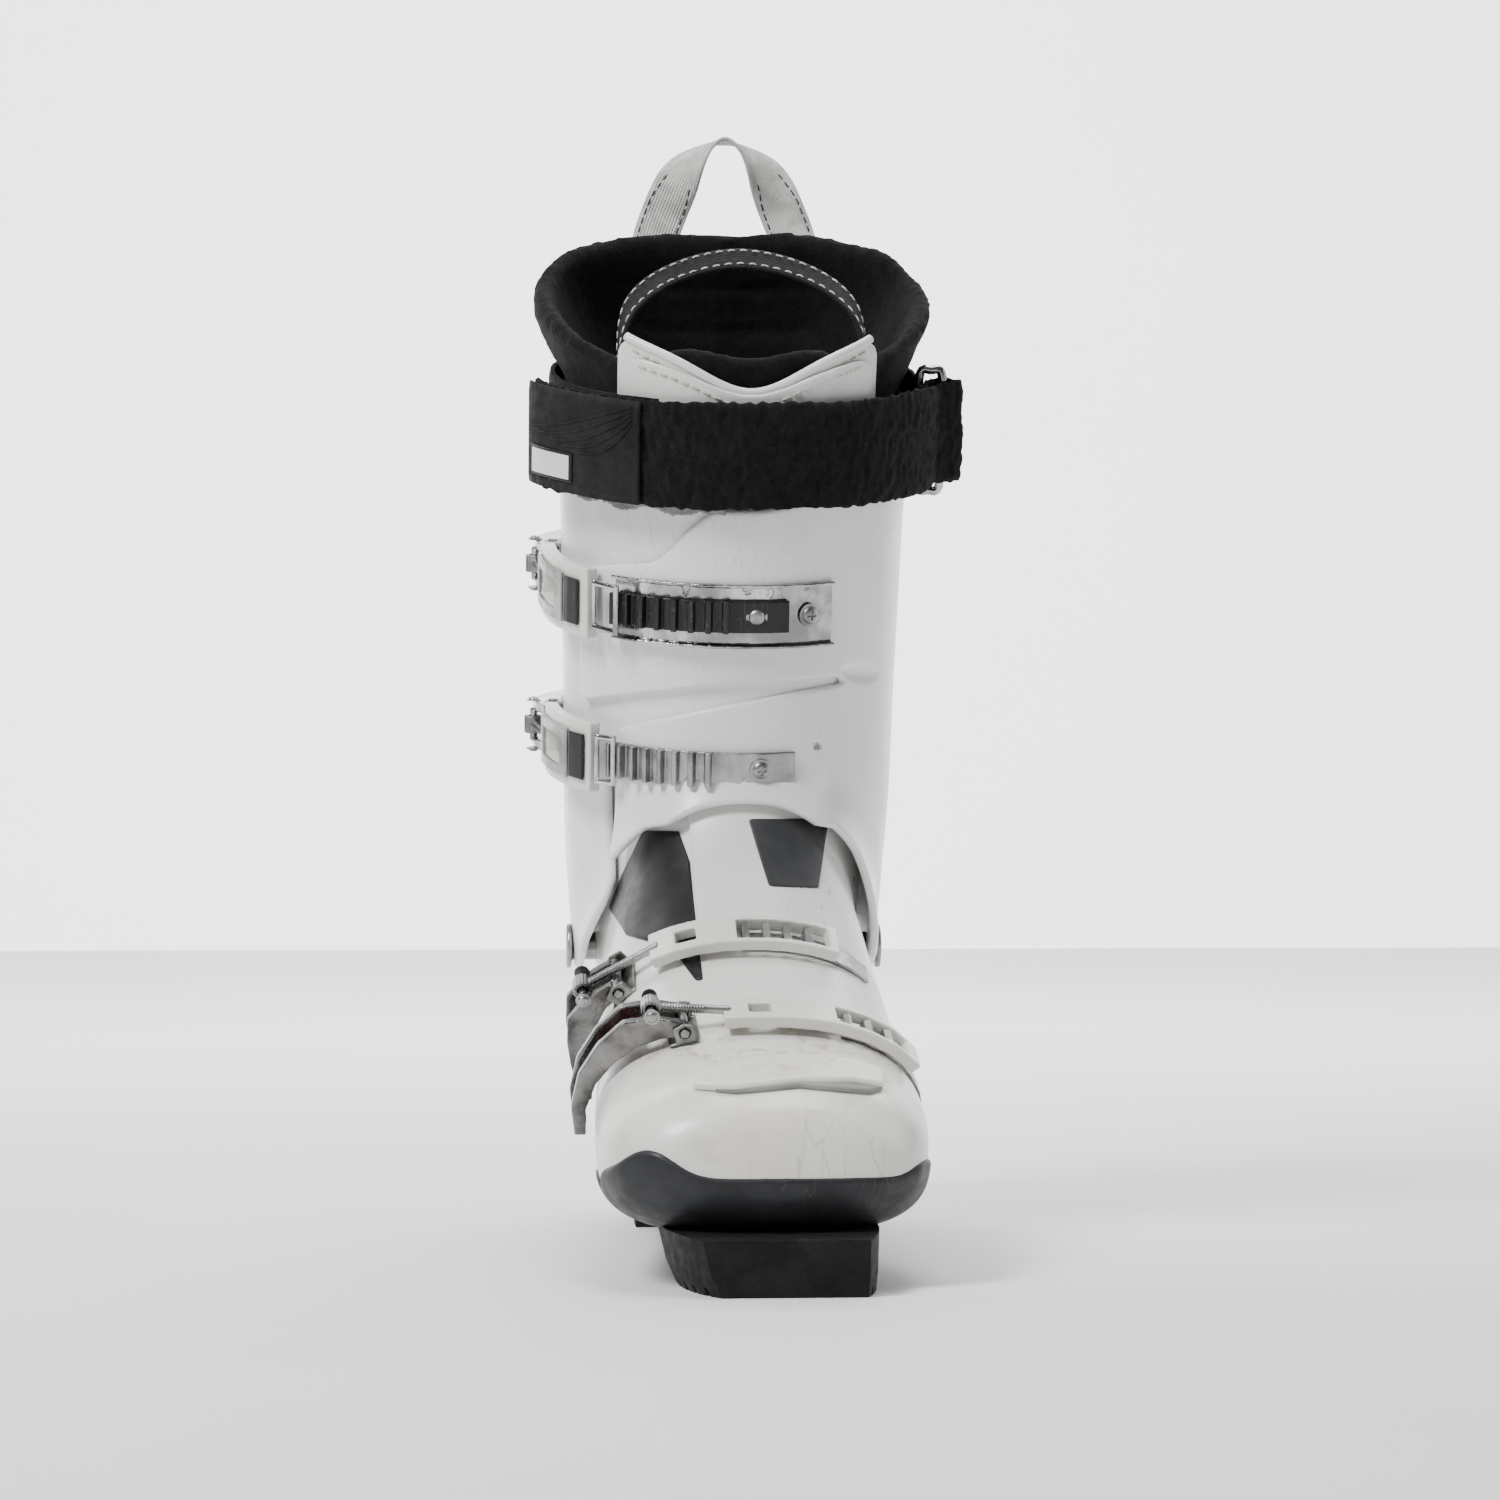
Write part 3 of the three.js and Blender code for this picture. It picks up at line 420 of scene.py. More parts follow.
def boolean(piece, cutters):
    """Cuts other pieces from this one, and removes them."""
    for cutter in cutters:
        modifier = piece.modifiers.new("cut", "BOOLEAN")
        modifier.operation = "DIFFERENCE"
        modifier.solver = "EXACT"
        modifier.object = cutter
        bpy.context.view_layer.update()
        apply_modifiers(piece)
        bpy.data.objects.remove(cutter)
    return piece


def melt(piece, voxel, smooth=4, factor=0.5):
    """Remeshes a piece in small voxels and smooths it, which rounds its edges and joins its parts."""
    remesh = piece.modifiers.new("melt", "REMESH")
    remesh.mode = "VOXEL"
    remesh.voxel_size = voxel
    remesh.use_smooth_shade = True
    relax = piece.modifiers.new("relax", "SMOOTH")
    relax.factor = factor
    relax.iterations = smooth
    return apply_modifiers(piece)


def join(name, pieces):
    """One mesh of several separate pieces."""
    edit = bmesh.new()
    materials = []
    for p in pieces:
        start = len(edit.faces)
        edit.from_mesh(p.data)
        edit.faces.ensure_lookup_table()
        for m in p.data.materials:
            if m not in materials:
                materials.append(m)
        own = p.data.materials[0] if p.data.materials else None
        for face in edit.faces[start:]:
            face.material_index = materials.index(own) if own else 0
    mesh = bpy.data.meshes.new(name)
    edit.to_mesh(mesh)
    edit.free()
    for m in materials:
        mesh.materials.append(m)
    piece = linked(name, mesh)
    for p in pieces:
        bpy.data.objects.remove(p)
    return piece


def tube(name, points, radius, material, sides=14, closed=False, samples=90):
    """A round wire along a smooth curve through points."""
    path = smooth_path(points, samples, closed)
    sections = []
    for at, (_, across, out) in zip(path, path_frames(path, closed)):
        sections.append([at + (across * math.cos(a) + out * math.sin(a)) * radius * MM
                         for a in np.linspace(0, 2 * math.pi, sides, endpoint=False)])
    piece = sweep(name, sections, material, closed=closed)
    piece.data.shade_smooth()
    return piece


def smooth_path(points, samples, closed=False):
    """Evenly spaced points on a Catmull-Rom curve through the given ones."""
    points = np.array(points, float)
    count = len(points)
    fine = []
    for k in range(count if closed else count - 1):
        if closed:
            a, b, c, d = (points[(k + i) % count] for i in (-1, 0, 1, 2))
        else:
            a, b, c, d = (points[min(max(k + i, 0), count - 1)] for i in (-1, 0, 1, 2))
        for t in np.linspace(0, 1, 24, endpoint=False):
            fine.append(0.5 * (2 * b + (c - a) * t + (2 * a - 5 * b + 4 * c - d) * t**2
                               + (3 * b - a - 3 * c + d) * t**3))
    fine.append(points[0] if closed else points[-1])
    fine = np.array(fine)
    walked = np.concatenate([[0], np.cumsum(np.linalg.norm(np.diff(fine, axis=0), axis=1))])
    even = np.linspace(0, walked[-1], samples + (1 if closed else 0))
    path = np.stack([np.interp(even, walked, fine[:, k]) for k in range(3)], 1)
    return path[:-1] if closed else path


def path_frames(path, closed=False, across=None):
    """Tangent, across and outward directions along a path, turned as little as possible."""
    count = len(path)
    frames = []
    guide = None if across is None else np.array(across, float)
    last = None
    for i in range(count):
        before = path[(i - 1) % count] if closed or i > 0 else path[i]
        after = path[(i + 1) % count] if closed or i < count - 1 else path[i]
        tangent = (after - before) / np.linalg.norm(after - before)
        wanted = guide if guide is not None else last
        if wanted is None:
            wanted = np.array([0.0, 0, 1]) if abs(tangent[2]) < 0.9 else np.array([0.0, 1, 0])
        side = wanted - tangent * (wanted @ tangent)
        side /= np.linalg.norm(side)
        frames.append((tangent, side, np.cross(tangent, side)))
        last = side
    return frames


# ---------------------------------------------------------------- materials

class Finish:
    """A procedural material, built up in layers on one shader. Scales are in repeats per metre."""

    def __init__(self, name, light, dark, roughness, clouds=40.0, metallic=0.0, **constants):
        self.material = bpy.data.materials.new(name)
        self.material.use_nodes = True
        self.tree = self.material.node_tree
        self.shader = self.tree.nodes["Principled BSDF"]
        self.shader.inputs["Metallic"].default_value = metallic
        for key, value in constants.items():
            self.shader.inputs[key.replace("_", " ").title().replace("Ior", "IOR")].default_value = value
        self.object_space = self.node("ShaderNodeTexCoord").outputs["Object"]
        cloudy = self.noise(clouds, detail=3)
        self.colour = self.mix(self.step(cloudy, 0.35, 0.65), dark, light)
        self.rough = self.blend(self.step(self.noise(clouds * 3.1, detail=4), 0.3, 0.7), *roughness)
        self.normal = None
        self.close()

    def node(self, kind, **settings):
        made = self.tree.nodes.new(kind)
        for key, value in settings.items():
            setattr(made, key, value)
        return made

    def link(self, value, socket):
        if isinstance(value, bpy.types.NodeSocket):
            self.tree.links.new(value, socket)
        else:
            socket.default_value = (*value, 1) if isinstance(value, tuple) and len(value) == 3 \
                and len(socket.default_value) == 4 else value

    def space(self, stretch=(1, 1, 1), turn=(0, 0, 0), uv=False):
        mapping = self.node("ShaderNodeMapping")
        source = self.node("ShaderNodeTexCoord").outputs["UV"] if uv else self.object_space
        self.link(source, mapping.inputs["Vector"])
        mapping.inputs["Rotation"].default_value = turn
        mapping.inputs["Scale"].default_value = stretch
        return mapping.outputs["Vector"]

    def noise(self, scale, detail=4.0, stretch=(1, 1, 1), turn=(0, 0, 0), lumpy=0.55):
        made = self.node("ShaderNodeTexNoise")
        self.link(self.space(stretch, turn), made.inputs["Vector"])
        made.inputs["Scale"].default_value = scale
        made.inputs["Detail"].default_value = detail
        made.inputs["Roughness"].default_value = lumpy
        return made.outputs["Fac"]

    def cells(self, scale):
        made = self.node("ShaderNodeTexVoronoi", feature="F1")
        self.link(self.space(), made.inputs["Vector"])
        made.inputs["Scale"].default_value = scale
        return made.outputs["Distance"]

    def ribs(self, scale, axis="X"):
        made = self.node("ShaderNodeTexWave", bands_direction=axis)
        self.link(self.space(uv=True), made.inputs["Vector"])
        made.inputs["Scale"].default_value = scale
        made.inputs["Distortion"].default_value = 0.0
        made.inputs["Detail Scale"].default_value = 3
        return made.outputs["Fac"]

    def step(self, value, low, high, rise=(0.0, 1.0)):
        made = self.node("ShaderNodeMapRange", interpolation_type="SMOOTHSTEP")
        self.link(value, made.inputs["Value"])
        made.inputs["From Min"].default_value = low
        made.inputs["From Max"].default_value = high
        made.inputs["To Min"].default_value, made.inputs["To Max"].default_value = rise
        return made.outputs["Result"]

    def math(self, operation, a, b=0.0):
        made = self.node("ShaderNodeMath", operation=operation)
        self.link(a, made.inputs[0])
        self.link(b, made.inputs[1])
        return made.outputs[0]

    def axis(self, name):
        made = self.node("ShaderNodeSeparateXYZ")
        self.link(self.object_space, made.inputs[0])
        return made.outputs[name]

    def blend(self, factor, a, b):
        made = self.node("ShaderNodeMix", data_type="FLOAT")
        self.link(factor, made.inputs[0])
        self.link(a, made.inputs[2])
        self.link(b, made.inputs[3])
        return made.outputs[0]

    def mix(self, factor, a, b):
        made = self.node("ShaderNodeMix", data_type="RGBA")
        self.link(factor, made.inputs[0])
        self.link(a, made.inputs[6])
        self.link(b, made.inputs[7])
        return made.outputs[2]

    def scratches(self, scale, width=0.012, turn=(0.3, 0.5, 0.4), patch=9.0):
        """Thin broken lines: the middle of a stretched noise, only inside cloudy patches."""
        line = self.math("ABSOLUTE", self.math("SUBTRACT", self.noise(scale, 1.5, (1, 1, 0.13), turn), 0.5))
        thin = self.step(line, 0.0, width, (1.0, 0.0))
        return self.math("MULTIPLY", thin, self.step(self.noise(patch, 2), 0.5, 0.62))

    def edges(self, low=0.52, high=0.58):
        return self.step(self.node("ShaderNodeNewGeometry").outputs["Pointiness"], low, high)

    def layer(self, mask, colour=None, roughness=None, share=1.0):
        if share != 1.0:
            mask = self.math("MULTIPLY", mask, share)
        if colour is not None:
            self.colour = self.mix(mask, self.colour, colour)
        if roughness is not None:
            self.rough = self.blend(mask, self.rough, roughness)
        return self.close()

    def bump(self, height, distance, strength=1.0):
        made = self.node("ShaderNodeBump")
        made.inputs["Distance"].default_value = distance
        made.inputs["Strength"].default_value = strength
        self.link(height, made.inputs["Height"])
        if self.normal is not None:
            self.link(self.normal, made.inputs["Normal"])
        self.normal = made.outputs["Normal"]
        return self.close()

    def close(self):
        self.link(self.colour, self.shader.inputs["Base Color"])
        self.link(self.rough, self.shader.inputs["Roughness"])
        if self.normal is not None:
            self.link(self.normal, self.shader.inputs["Normal"])
        return self


def shell_plastic(name, light, dark, aged):
    """White moulded plastic: faint clouding, fine grain, light scuffs, and yellowing where it is aged."""
    f = Finish(name, light, dark, (0.27, 0.36), clouds=14, coat_weight=0.12, coat_roughness=0.15)
    f.bump(f.noise(900, 3), 0.00003, 0.5)
    f.bump(f.noise(60, 2), 0.00012, 0.5)
    if aged:
        toe = f.step(f.axis("Y"), -0.17, -0.235)
        low = f.step(f.axis("Z"), 0.085, 0.05)
        f.layer(f.math("MULTIPLY", toe, f.step(f.noise(26, 4), 0.3, 0.75)), (0.74, 0.70, 0.57), share=0.6)
        grime = f.math("MULTIPLY", low, f.step(f.noise(70, 5), 0.5, 0.7))
        f.layer(grime, (0.55, 0.51, 0.43), 0.55, share=0.35)
    marks = f.scratches(130)
    f.layer(marks, (0.38, 0.37, 0.35), 0.6, share=0.5 if aged else 0.25)
    f.bump(marks, 0.0001, 0.4)
    smudge = f.step(f.noise(34, 6, lumpy=0.7), 0.6, 0.75)
    f.layer(smudge, (0.62, 0.61, 0.58), 0.5, share=0.30 if aged else 0.12)
    return f


def dark_plastic(name, light, dark, roughness=(0.42, 0.6)):
    f = Finish(name, light, dark, roughness, clouds=55, specular_ior_level=0.35)
    f.bump(f.noise(1500, 3), 0.00005, 0.6)
    marks = f.scratches(170, width=0.01)
    f.layer(marks, (0.09, 0.09, 0.093), 0.65, share=0.5)
    f.layer(f.edges(0.54, 0.62), (0.07, 0.07, 0.073), 0.5, share=0.35)
    return f


def rubber(name, light, dark):
    f = Finish(name, light, dark, (0.6, 0.85), clouds=70, specular_ior_level=0.2)
    f.bump(f.noise(1100, 4), 0.00012, 0.8)
    dust = f.step(f.noise(45, 6, lumpy=0.7), 0.52, 0.72)
    f.layer(dust, (0.03, 0.029, 0.028), 0.85, share=0.4)
    return f


def metal(name, light, dark, roughness, grain=(1, 1, 1), grain_scale=500.0, wear=0.35):
    f = Finish(name, light, dark, roughness, clouds=60, metallic=1.0)
    brushed = f.noise(grain_scale, 3, grain)
    f.rough = f.blend(brushed, f.rough, f.math("ADD", f.rough, 0.12))
    f.close()
    f.bump(brushed, 0.00003, 0.5)
    marks = f.scratches(260, width=0.012, patch=30)
    f.layer(marks, dark, 0.5, share=0.8)
    stain = f.step(f.noise(160, 6, lumpy=0.7), 0.55, 0.75)
    f.layer(stain, (0.20, 0.17, 0.13), 0.6, share=wear)
    return f


def cloth(name, light, dark, fuzz, sheen=0.3, scale=1400.0):
    """Felt or plush: short fibres seen as fine uneven specks, with a soft sheen."""
    f = Finish(name, light, dark, (0.85, 1.0), clouds=120, sheen_weight=sheen, sheen_roughness=0.5,
               specular_ior_level=0.12)
    fibres = f.noise(scale, 5, lumpy=0.7)
    f.layer(f.step(fibres, 0.5, 0.68), fuzz, share=0.4)
    f.bump(fibres, 0.0006, 0.9)
    f.bump(f.noise(scale / 5, 3), 0.0008, 0.6)
    return f


def webbing(name, light, dark, ribs):
    """Woven tape. U runs along the tape and V across it, both in metres."""
    f = Finish(name, light, dark, (0.7, 0.85), clouds=150, sheen_weight=0.04, sheen_roughness=0.4,
               specular_ior_level=0.2)
    across = f.ribs(ribs, "Y")
    yarn = f.ribs(ribs * 1.6, "DIAGONAL")
    f.layer(f.step(across, 0.0, 0.35, (1.0, 0.0)), dark, share=0.75)
    f.layer(f.step(yarn, 0.0, 0.3, (1.0, 0.0)), dark, share=0.35)
    f.bump(across, 0.0003, 0.8)
    f.bump(yarn, 0.0001, 0.7)
    f.bump(f.noise(1800, 3), 0.0001, 0.5)
    return f


def thread(name, light, dark):
    f = Finish(name, light, dark, (0.7, 0.85), 900)
    return f.bump(f.noise(2500, 3), 0.0001, 0.8)


def soft_white_plastic():
    """The tongue's facing: pebbled, faintly coated and a little grubby."""
    f = Finish("tongue_white", (0.76, 0.755, 0.74), (0.66, 0.655, 0.63), (0.24, 0.36), 25, coat_weight=0.2)
    f.bump(f.noise(140, 4), 0.0004, 0.5)
    f.bump(f.cells(1100), 0.00006, 0.5)
    return f.layer(f.step(f.noise(40, 6), 0.55, 0.75), (0.50, 0.48, 0.43), 0.5, share=0.35)


def brown_band_above_badge(f):
    """Rust-brown, rougher patches in a band along the toe badge's upper edge."""
    band = f.math("MULTIPLY", f.step(f.axis("Z"), 0.064, 0.071), f.step(f.axis("Z"), 0.082, 0.075))
    band_in_front = f.math("MULTIPLY", band, f.step(f.axis("Y"), -0.19, -0.20))
    f.layer(f.math("MULTIPLY", band_in_front, f.step(f.noise(150, 5, lumpy=0.7), 0.5, 0.66)),
            (0.30, 0.20, 0.10), 0.7, share=0.5)


WHITE = shell_plastic("lower_shell_plastic", (0.80, 0.795, 0.77), (0.74, 0.735, 0.70), True)
CUFF_WHITE = shell_plastic("cuff_plastic", (0.82, 0.83, 0.835), (0.77, 0.78, 0.79), False)
FRAME_DARK = dark_plastic("frame_plastic", (0.020, 0.021, 0.024), (0.013, 0.014, 0.016))
INSERT_DARK = dark_plastic("insert_plastic", (0.010, 0.010, 0.011), (0.007, 0.007, 0.008), (0.38, 0.5))
INSERT_GREY = dark_plastic("insert_grey_plastic", (0.040, 0.041, 0.044), (0.030, 0.031, 0.033))
RUBBER = rubber("sole_rubber", (0.010, 0.010, 0.0105), (0.006, 0.006, 0.0065))
PATCH = rubber("strap_rubber", (0.010, 0.010, 0.011), (0.006, 0.006, 0.007))
PLUSH = cloth("collar_plush", (0.0055, 0.0055, 0.006), (0.003, 0.003, 0.0034), (0.014, 0.0138, 0.0135),
              0.05, 1100)
FELT = cloth("strap_felt", (0.0065, 0.0065, 0.007), (0.0035, 0.0035, 0.004), (0.024, 0.0235, 0.023),
             0.05, 1700)
LOOP_FUZZ = cloth("loop_fuzz", (0.33, 0.33, 0.33), (0.20, 0.20, 0.20), (0.50, 0.50, 0.49), 0.2, 1500)
GREY_WEB = webbing("grey_webbing", (0.62, 0.615, 0.59), (0.40, 0.395, 0.375), 300)
BLACK_WEB = webbing("black_webbing", (0.010, 0.010, 0.0105), (0.005, 0.005, 0.005), 260)
CHROME = metal("chrome", (0.60, 0.605, 0.61), (0.24, 0.24, 0.245), (0.08, 0.18), wear=0.2)
STEEL = metal("brushed_steel", (0.44, 0.44, 0.435), (0.20, 0.197, 0.19), (0.26, 0.38), (0.15, 1, 1), 900, 0.2)
DARK_CHROME = metal("worn_lever_chrome", (0.25, 0.245, 0.24), (0.07, 0.068, 0.065), (0.16, 0.32), wear=0.35)
ZINC = metal("galvanised_steel", (0.34, 0.34, 0.33), (0.18, 0.18, 0.17), (0.3, 0.45), wear=0.25)
BLACK_RACK = dark_plastic("rack_plastic", (0.010, 0.010, 0.011), (0.006, 0.006, 0.007), (0.28, 0.42))
BURGUNDY = dark_plastic("insert_burgundy", (0.155, 0.020, 0.032), (0.095, 0.012, 0.020), (0.28, 0.4))
LABEL = dark_plastic("label_black", (0.006, 0.006, 0.0065), (0.004, 0.004, 0.0045), (0.3, 0.42))
LIP_GREY = dark_plastic("badge_grey", (0.30, 0.30, 0.29), (0.22, 0.22, 0.21), (0.4, 0.5))
ARM_WHITE = shell_plastic("arm_plastic", (0.76, 0.745, 0.70), (0.68, 0.665, 0.615), False)
THREAD_LIGHT = thread("light_thread", (0.62, 0.60, 0.54), (0.42, 0.40, 0.35))
THREAD_DARK = thread("dark_thread", (0.030, 0.030, 0.030), (0.012, 0.012, 0.012))
TONGUE_WHITE = soft_white_plastic()
# Rust-brown, rougher patches in a band along the toe badge's upper edge.
brown_band_above_badge(WHITE)


# ---------------------------------------------------------------- cuff: one sheet, wound past itself

WALL_CUFF = 2.9 * MM
SHEET_DEGREES = (-72, 412)
RIGHT_END = math.radians(402)
DROP_ANGLES = (math.radians(276), math.radians(298))
UNDER_DROP = 3.3 * MM
UNDER_LOW = 0.166
SLIT_END = 0.036
HOLE = (0.026, 0.171)
HOLE_RADIUS = 2.6 * MM
GROOVE = (0.041, 0.1965)
GROOVE_DEPTH = 1.3 * MM
TOP_Y = [-0.175, -0.133, -0.097, -0.061, -0.031]
TOP_Z = [0.257, 0.260, 0.279, 0.300, 0.310]
LOW_Y = [-0.125, -0.110, -0.098, -0.085, -0.070, -0.055, -0.035, -0.010, 0.015, 0.040]
LOW_Z = [0.147, 0.145, 0.136, 0.121, 0.108, 0.099, 0.094, 0.097, 0.107, 0.118]


def winding(start, end, offset, angles, rows):
    """An open skin whose columns may run more than once round the form."""
    positions = np.linspace(start, end, rows)
    points = np.concatenate([ring(p, offset(angles), angles) for p in positions])
    columns = len(angles)
    r, c = np.meshgrid(np.arange(rows - 1), np.arange(columns - 1), indexing="ij")
    a = (r * columns + c).ravel()
    faces = np.concatenate([np.stack([a, a + 1, a + 1 + columns], 1),
                            np.stack([a, a + 1 + columns, a + columns], 1)])
    return points, faces, np.tile(angles, rows)


def cuff_offset(angles):
    """The outer surface, then the drop to the flap that lies under the other."""
    return CUFF_OUTER - UNDER_DROP * smoothstep(angles, *DROP_ANGLES)


def build_cuff():
    """Both flaps and the back of the cuff, with the front slit, its end groove and the small hole."""
    angles = np.radians(np.arange(*SHEET_DEGREES, 1.5))
    points, faces, turn = winding(8.5, 17.2, cuff_offset, angles, 150)
    x, y, z = points.T
    phi, _ = BANDS["cuff_top"].coordinates(points)
    over = turn < math.pi
    top = np.interp(y, TOP_Y, TOP_Z) - z
    flap = 0.2475 + 0.0100 * smoothstep(x, 0.0, 0.050) - 0.0165 * (1 - smoothstep(phi, -27, -7)) - z
    top = np.where(over & (y < -0.06), np.minimum(top, flap + 0.2 * smoothstep(x, 0.052, 0.062)), top)
    under_low = UNDER_LOW * smoothstep(turn, math.radians(285), math.radians(305)) * (y < -0.04)
    low = z - np.maximum(np.interp(y, LOW_Y, LOW_Z), under_low)
    sleeve = 58 - 19 * (1 - smoothstep(z, 0.178, 0.190))
    left = (phi + sleeve) * 0.00105
    right = (RIGHT_END - turn) * 0.06
    value = round_min(0.006, top, low, np.where(over, left, 0.05), np.where(over, 0.05, right))
    share = (x + 0.048) / 0.083
    bottom, ceiling = 0.175 + 0.016 * share, 0.189 + 0.007 * share
    slit = round_min(0.003, (ceiling - bottom) / 2 - np.abs(z - (ceiling + bottom) / 2), SLIT_END - x)
    hole = HOLE_RADIUS - np.hypot(x - HOLE[0], z - HOLE[1])
    value = np.where(over & (y < -0.02), round_min(0.002, value, -slit, -hole), value)
    groove = np.clip(1 - np.hypot((x - GROOVE[0]) / 0.009, (z - GROOVE[1]) / 0.0035), 0, 1)
    groove = groove * over * (y < -0.05)
    points = points - normals_of(points, faces) * (smoothstep(groove, 0, 0.5) * GROOVE_DEPTH)[:, None]
    return shell_piece("cuff_shell", points, faces, value, WALL_CUFF, 6, CUFF_WHITE)


show(build_cuff(), "cuff", "white_shell", "cuff")


# ---------------------------------------------------------------- lower shell, frame and sole

def build_shell():
    """The outer skin of the lower shell, cut off where the cuff takes over."""
    points, faces = form(0.0, rows=150, columns=220)
    along_share = (HEEL_BACK - points[:, 1]) / SOLE_LENGTH
    top = np.interp(along_share, [0.25, 0.45], [0.455, 0.492]) * CUFF_HEIGHT - points[:, 2]
    return shell_piece("lower_shell_skin", points, faces, top, 4 * MM, 5, WHITE)


def flap_edge(z):
    """Where the medial flap's free edge lies, from the arch up to the ankle."""
    return np.interp(z, [0.080, 0.089, 0.142, 0.165], [-0.013, -0.0155, -0.0175, -0.019])


def flap_rise(above):
    """Offset of the medial flap's surface, which melts away round the foot, plus above in millimetres."""
    def rise(position, angles):
        turn = np.angle(np.exp(1j * np.asarray(angles)))
        side = 1 - smoothstep(turn, 0, math.radians(62))
        return (2.5 * side * smoothstep(position, 5.3, 7.0) + above) * MM
    return rise


def build_flap():
    """The medial flap, which stands proud of the lateral one at its edge."""
    points, faces = form(flap_rise(-0.5), 4.5, 12.4, rows=130, columns=300)
    x, y, z = points.T
    turn = np.concatenate([np.angle(np.exp(1j * even_angles(300)))] * 130)
    side = (math.radians(66) - turn) * 0.05
    value = round_min(0.003, x - flap_edge(z), side, 0.160 - z, z - 0.082, -0.03 - y)
    return shell_piece("instep_flap", points, faces, value, 2.3 * MM, 5, WHITE)


FRAME_Y = [-0.265, -0.235, -0.200, -0.120, -0.060, 0.0, 0.035]
FRAME_Z = [0.0345, 0.0330, 0.0320, 0.0280, 0.0280, 0.0330, 0.0530]


def frame_top(x, y):
    """Height of the dark frame's upper edge, with its peaks beside the toe and a notch in its side."""
    peak = 0.009 * np.exp(-((x + 0.040) / 0.011) ** 2) * smoothstep(-y, 0.17, 0.22)
    medial = 0.005 * np.exp(-((x - 0.050) / 0.007) ** 2) * smoothstep(-y, 0.17, 0.22)
    notch = 0.007 * np.exp(-((y + 0.212) / 0.008) ** 2) * (x < -0.035)
    return np.interp(y, FRAME_Y, FRAME_Z) + peak + medial - notch


def build_frame():
    """The dark frame round the sole, a thin skin over the lower shell."""
    points, faces = form(1.0 * MM, rows=150, columns=220)
    value = frame_top(points[:, 0], points[:, 1]) - points[:, 2]
    return shell_piece("sole_frame_skin", points, faces, value, 3.0 * MM, 5, FRAME_DARK)


def pad(name, node, taper, groove_rows, heel):
    """A sole pad: a block with drawn-in sides, a rounded rim and grooves across its tread."""
    (x0, y0, z0), (x1, y1, z1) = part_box(node)
    steps = 14
    sections = []
    for k in range(steps + 1):
        share = k / steps
        y = y0 + (y1 - y0) * share
        curve = (1 - share) ** 3 if not heel else share ** 3
        pull = 0.16 * curve * (x1 - x0)
        front = 0.0015 * curve
        left, right = x0 + pull, x1 - pull * 0.55
        waist = z0 + 0.3 * (z1 - z0), z0 + 0.35 * (z1 - z0)
        sections.append([np.array(p) for p in (
            (left + taper[0], y, z0), (right - taper[1], y, z0), (right - taper[1] * 0.4, y, waist[0]),
            (right, y, z1 - front), (left, y, z1 - front), (left + taper[0] * 0.5, y, waist[1]))])
    piece = sweep(name, sections, RUBBER)
    cutters = []
    for k in range(groove_rows):
        y = y0 + (y1 - y0) * (k + 0.8) / (groove_rows + 0.6)
        lean = 0.0022 * (-1) ** k
        profile = ((-0.0014, -0.002), (0.0014, -0.002), (0.0009, 0.0026), (-0.0009, 0.0026))
        row = [[np.array((x, y + dy + s, z0 + dz)) for dy, dz in profile]
               for x, s in ((x0 - 0.01, -lean), ((x0 + x1) / 2, lean), (x1 + 0.01, -lean))]
        cutters.append(sweep("groove", row, RUBBER))
    boolean(piece, cutters)
    return round_edges(piece, 0.8 * MM, 2, 30)


show(build_shell(), "boot_shell", "white_shell", "lower_shell")
show(build_flap(), "boot_shell", "white_shell")
show(build_frame(), "boot_shell", "dark_plastic", "sole_frame")
show(pad("toe_pad", "toe_sole_pad", (0.006, 0.001), 6, False), "boot_shell", "sole_rubber", "toe_sole_pad")
show(pad("heel_pad", "heel_sole_pad", (0.002, 0.002), 6, True), "boot_shell", "sole_rubber", "heel_sole_pad")


# ---------------------------------------------------------------- soft pieces: tools

def fuzz(piece, amount, scale, second=0.0):
    """Moves the surface in and out by a fine noise, for fibres, and by a slow one, for soft dents."""
    points, normals = coordinates_of(piece.data), coordinates_of(piece.data, "normal")
    push = np.array([noise.noise(Vector(p) * scale) * amount + noise.noise(Vector(p) * 38) * second
                     for p in points])
    move_vertices(piece.data, points + normals * push[:, None])
    return piece


def copy_of(name, node, material):
    """A new piece with a CAD solid's mesh, in place in the scene."""
    bpy.context.view_layer.update()
    source = frame["nodes"][node]
    mesh = source.data.copy()
    mesh.transform(source.matrix_world)
    mesh.materials.clear()
    return linked(name, mesh, material)


def remake(name, node, material, voxel, relax=3):
    """A CAD solid with its edges melted round and a smooth surface."""
    return melt(copy_of(name, node, material), voxel, relax)


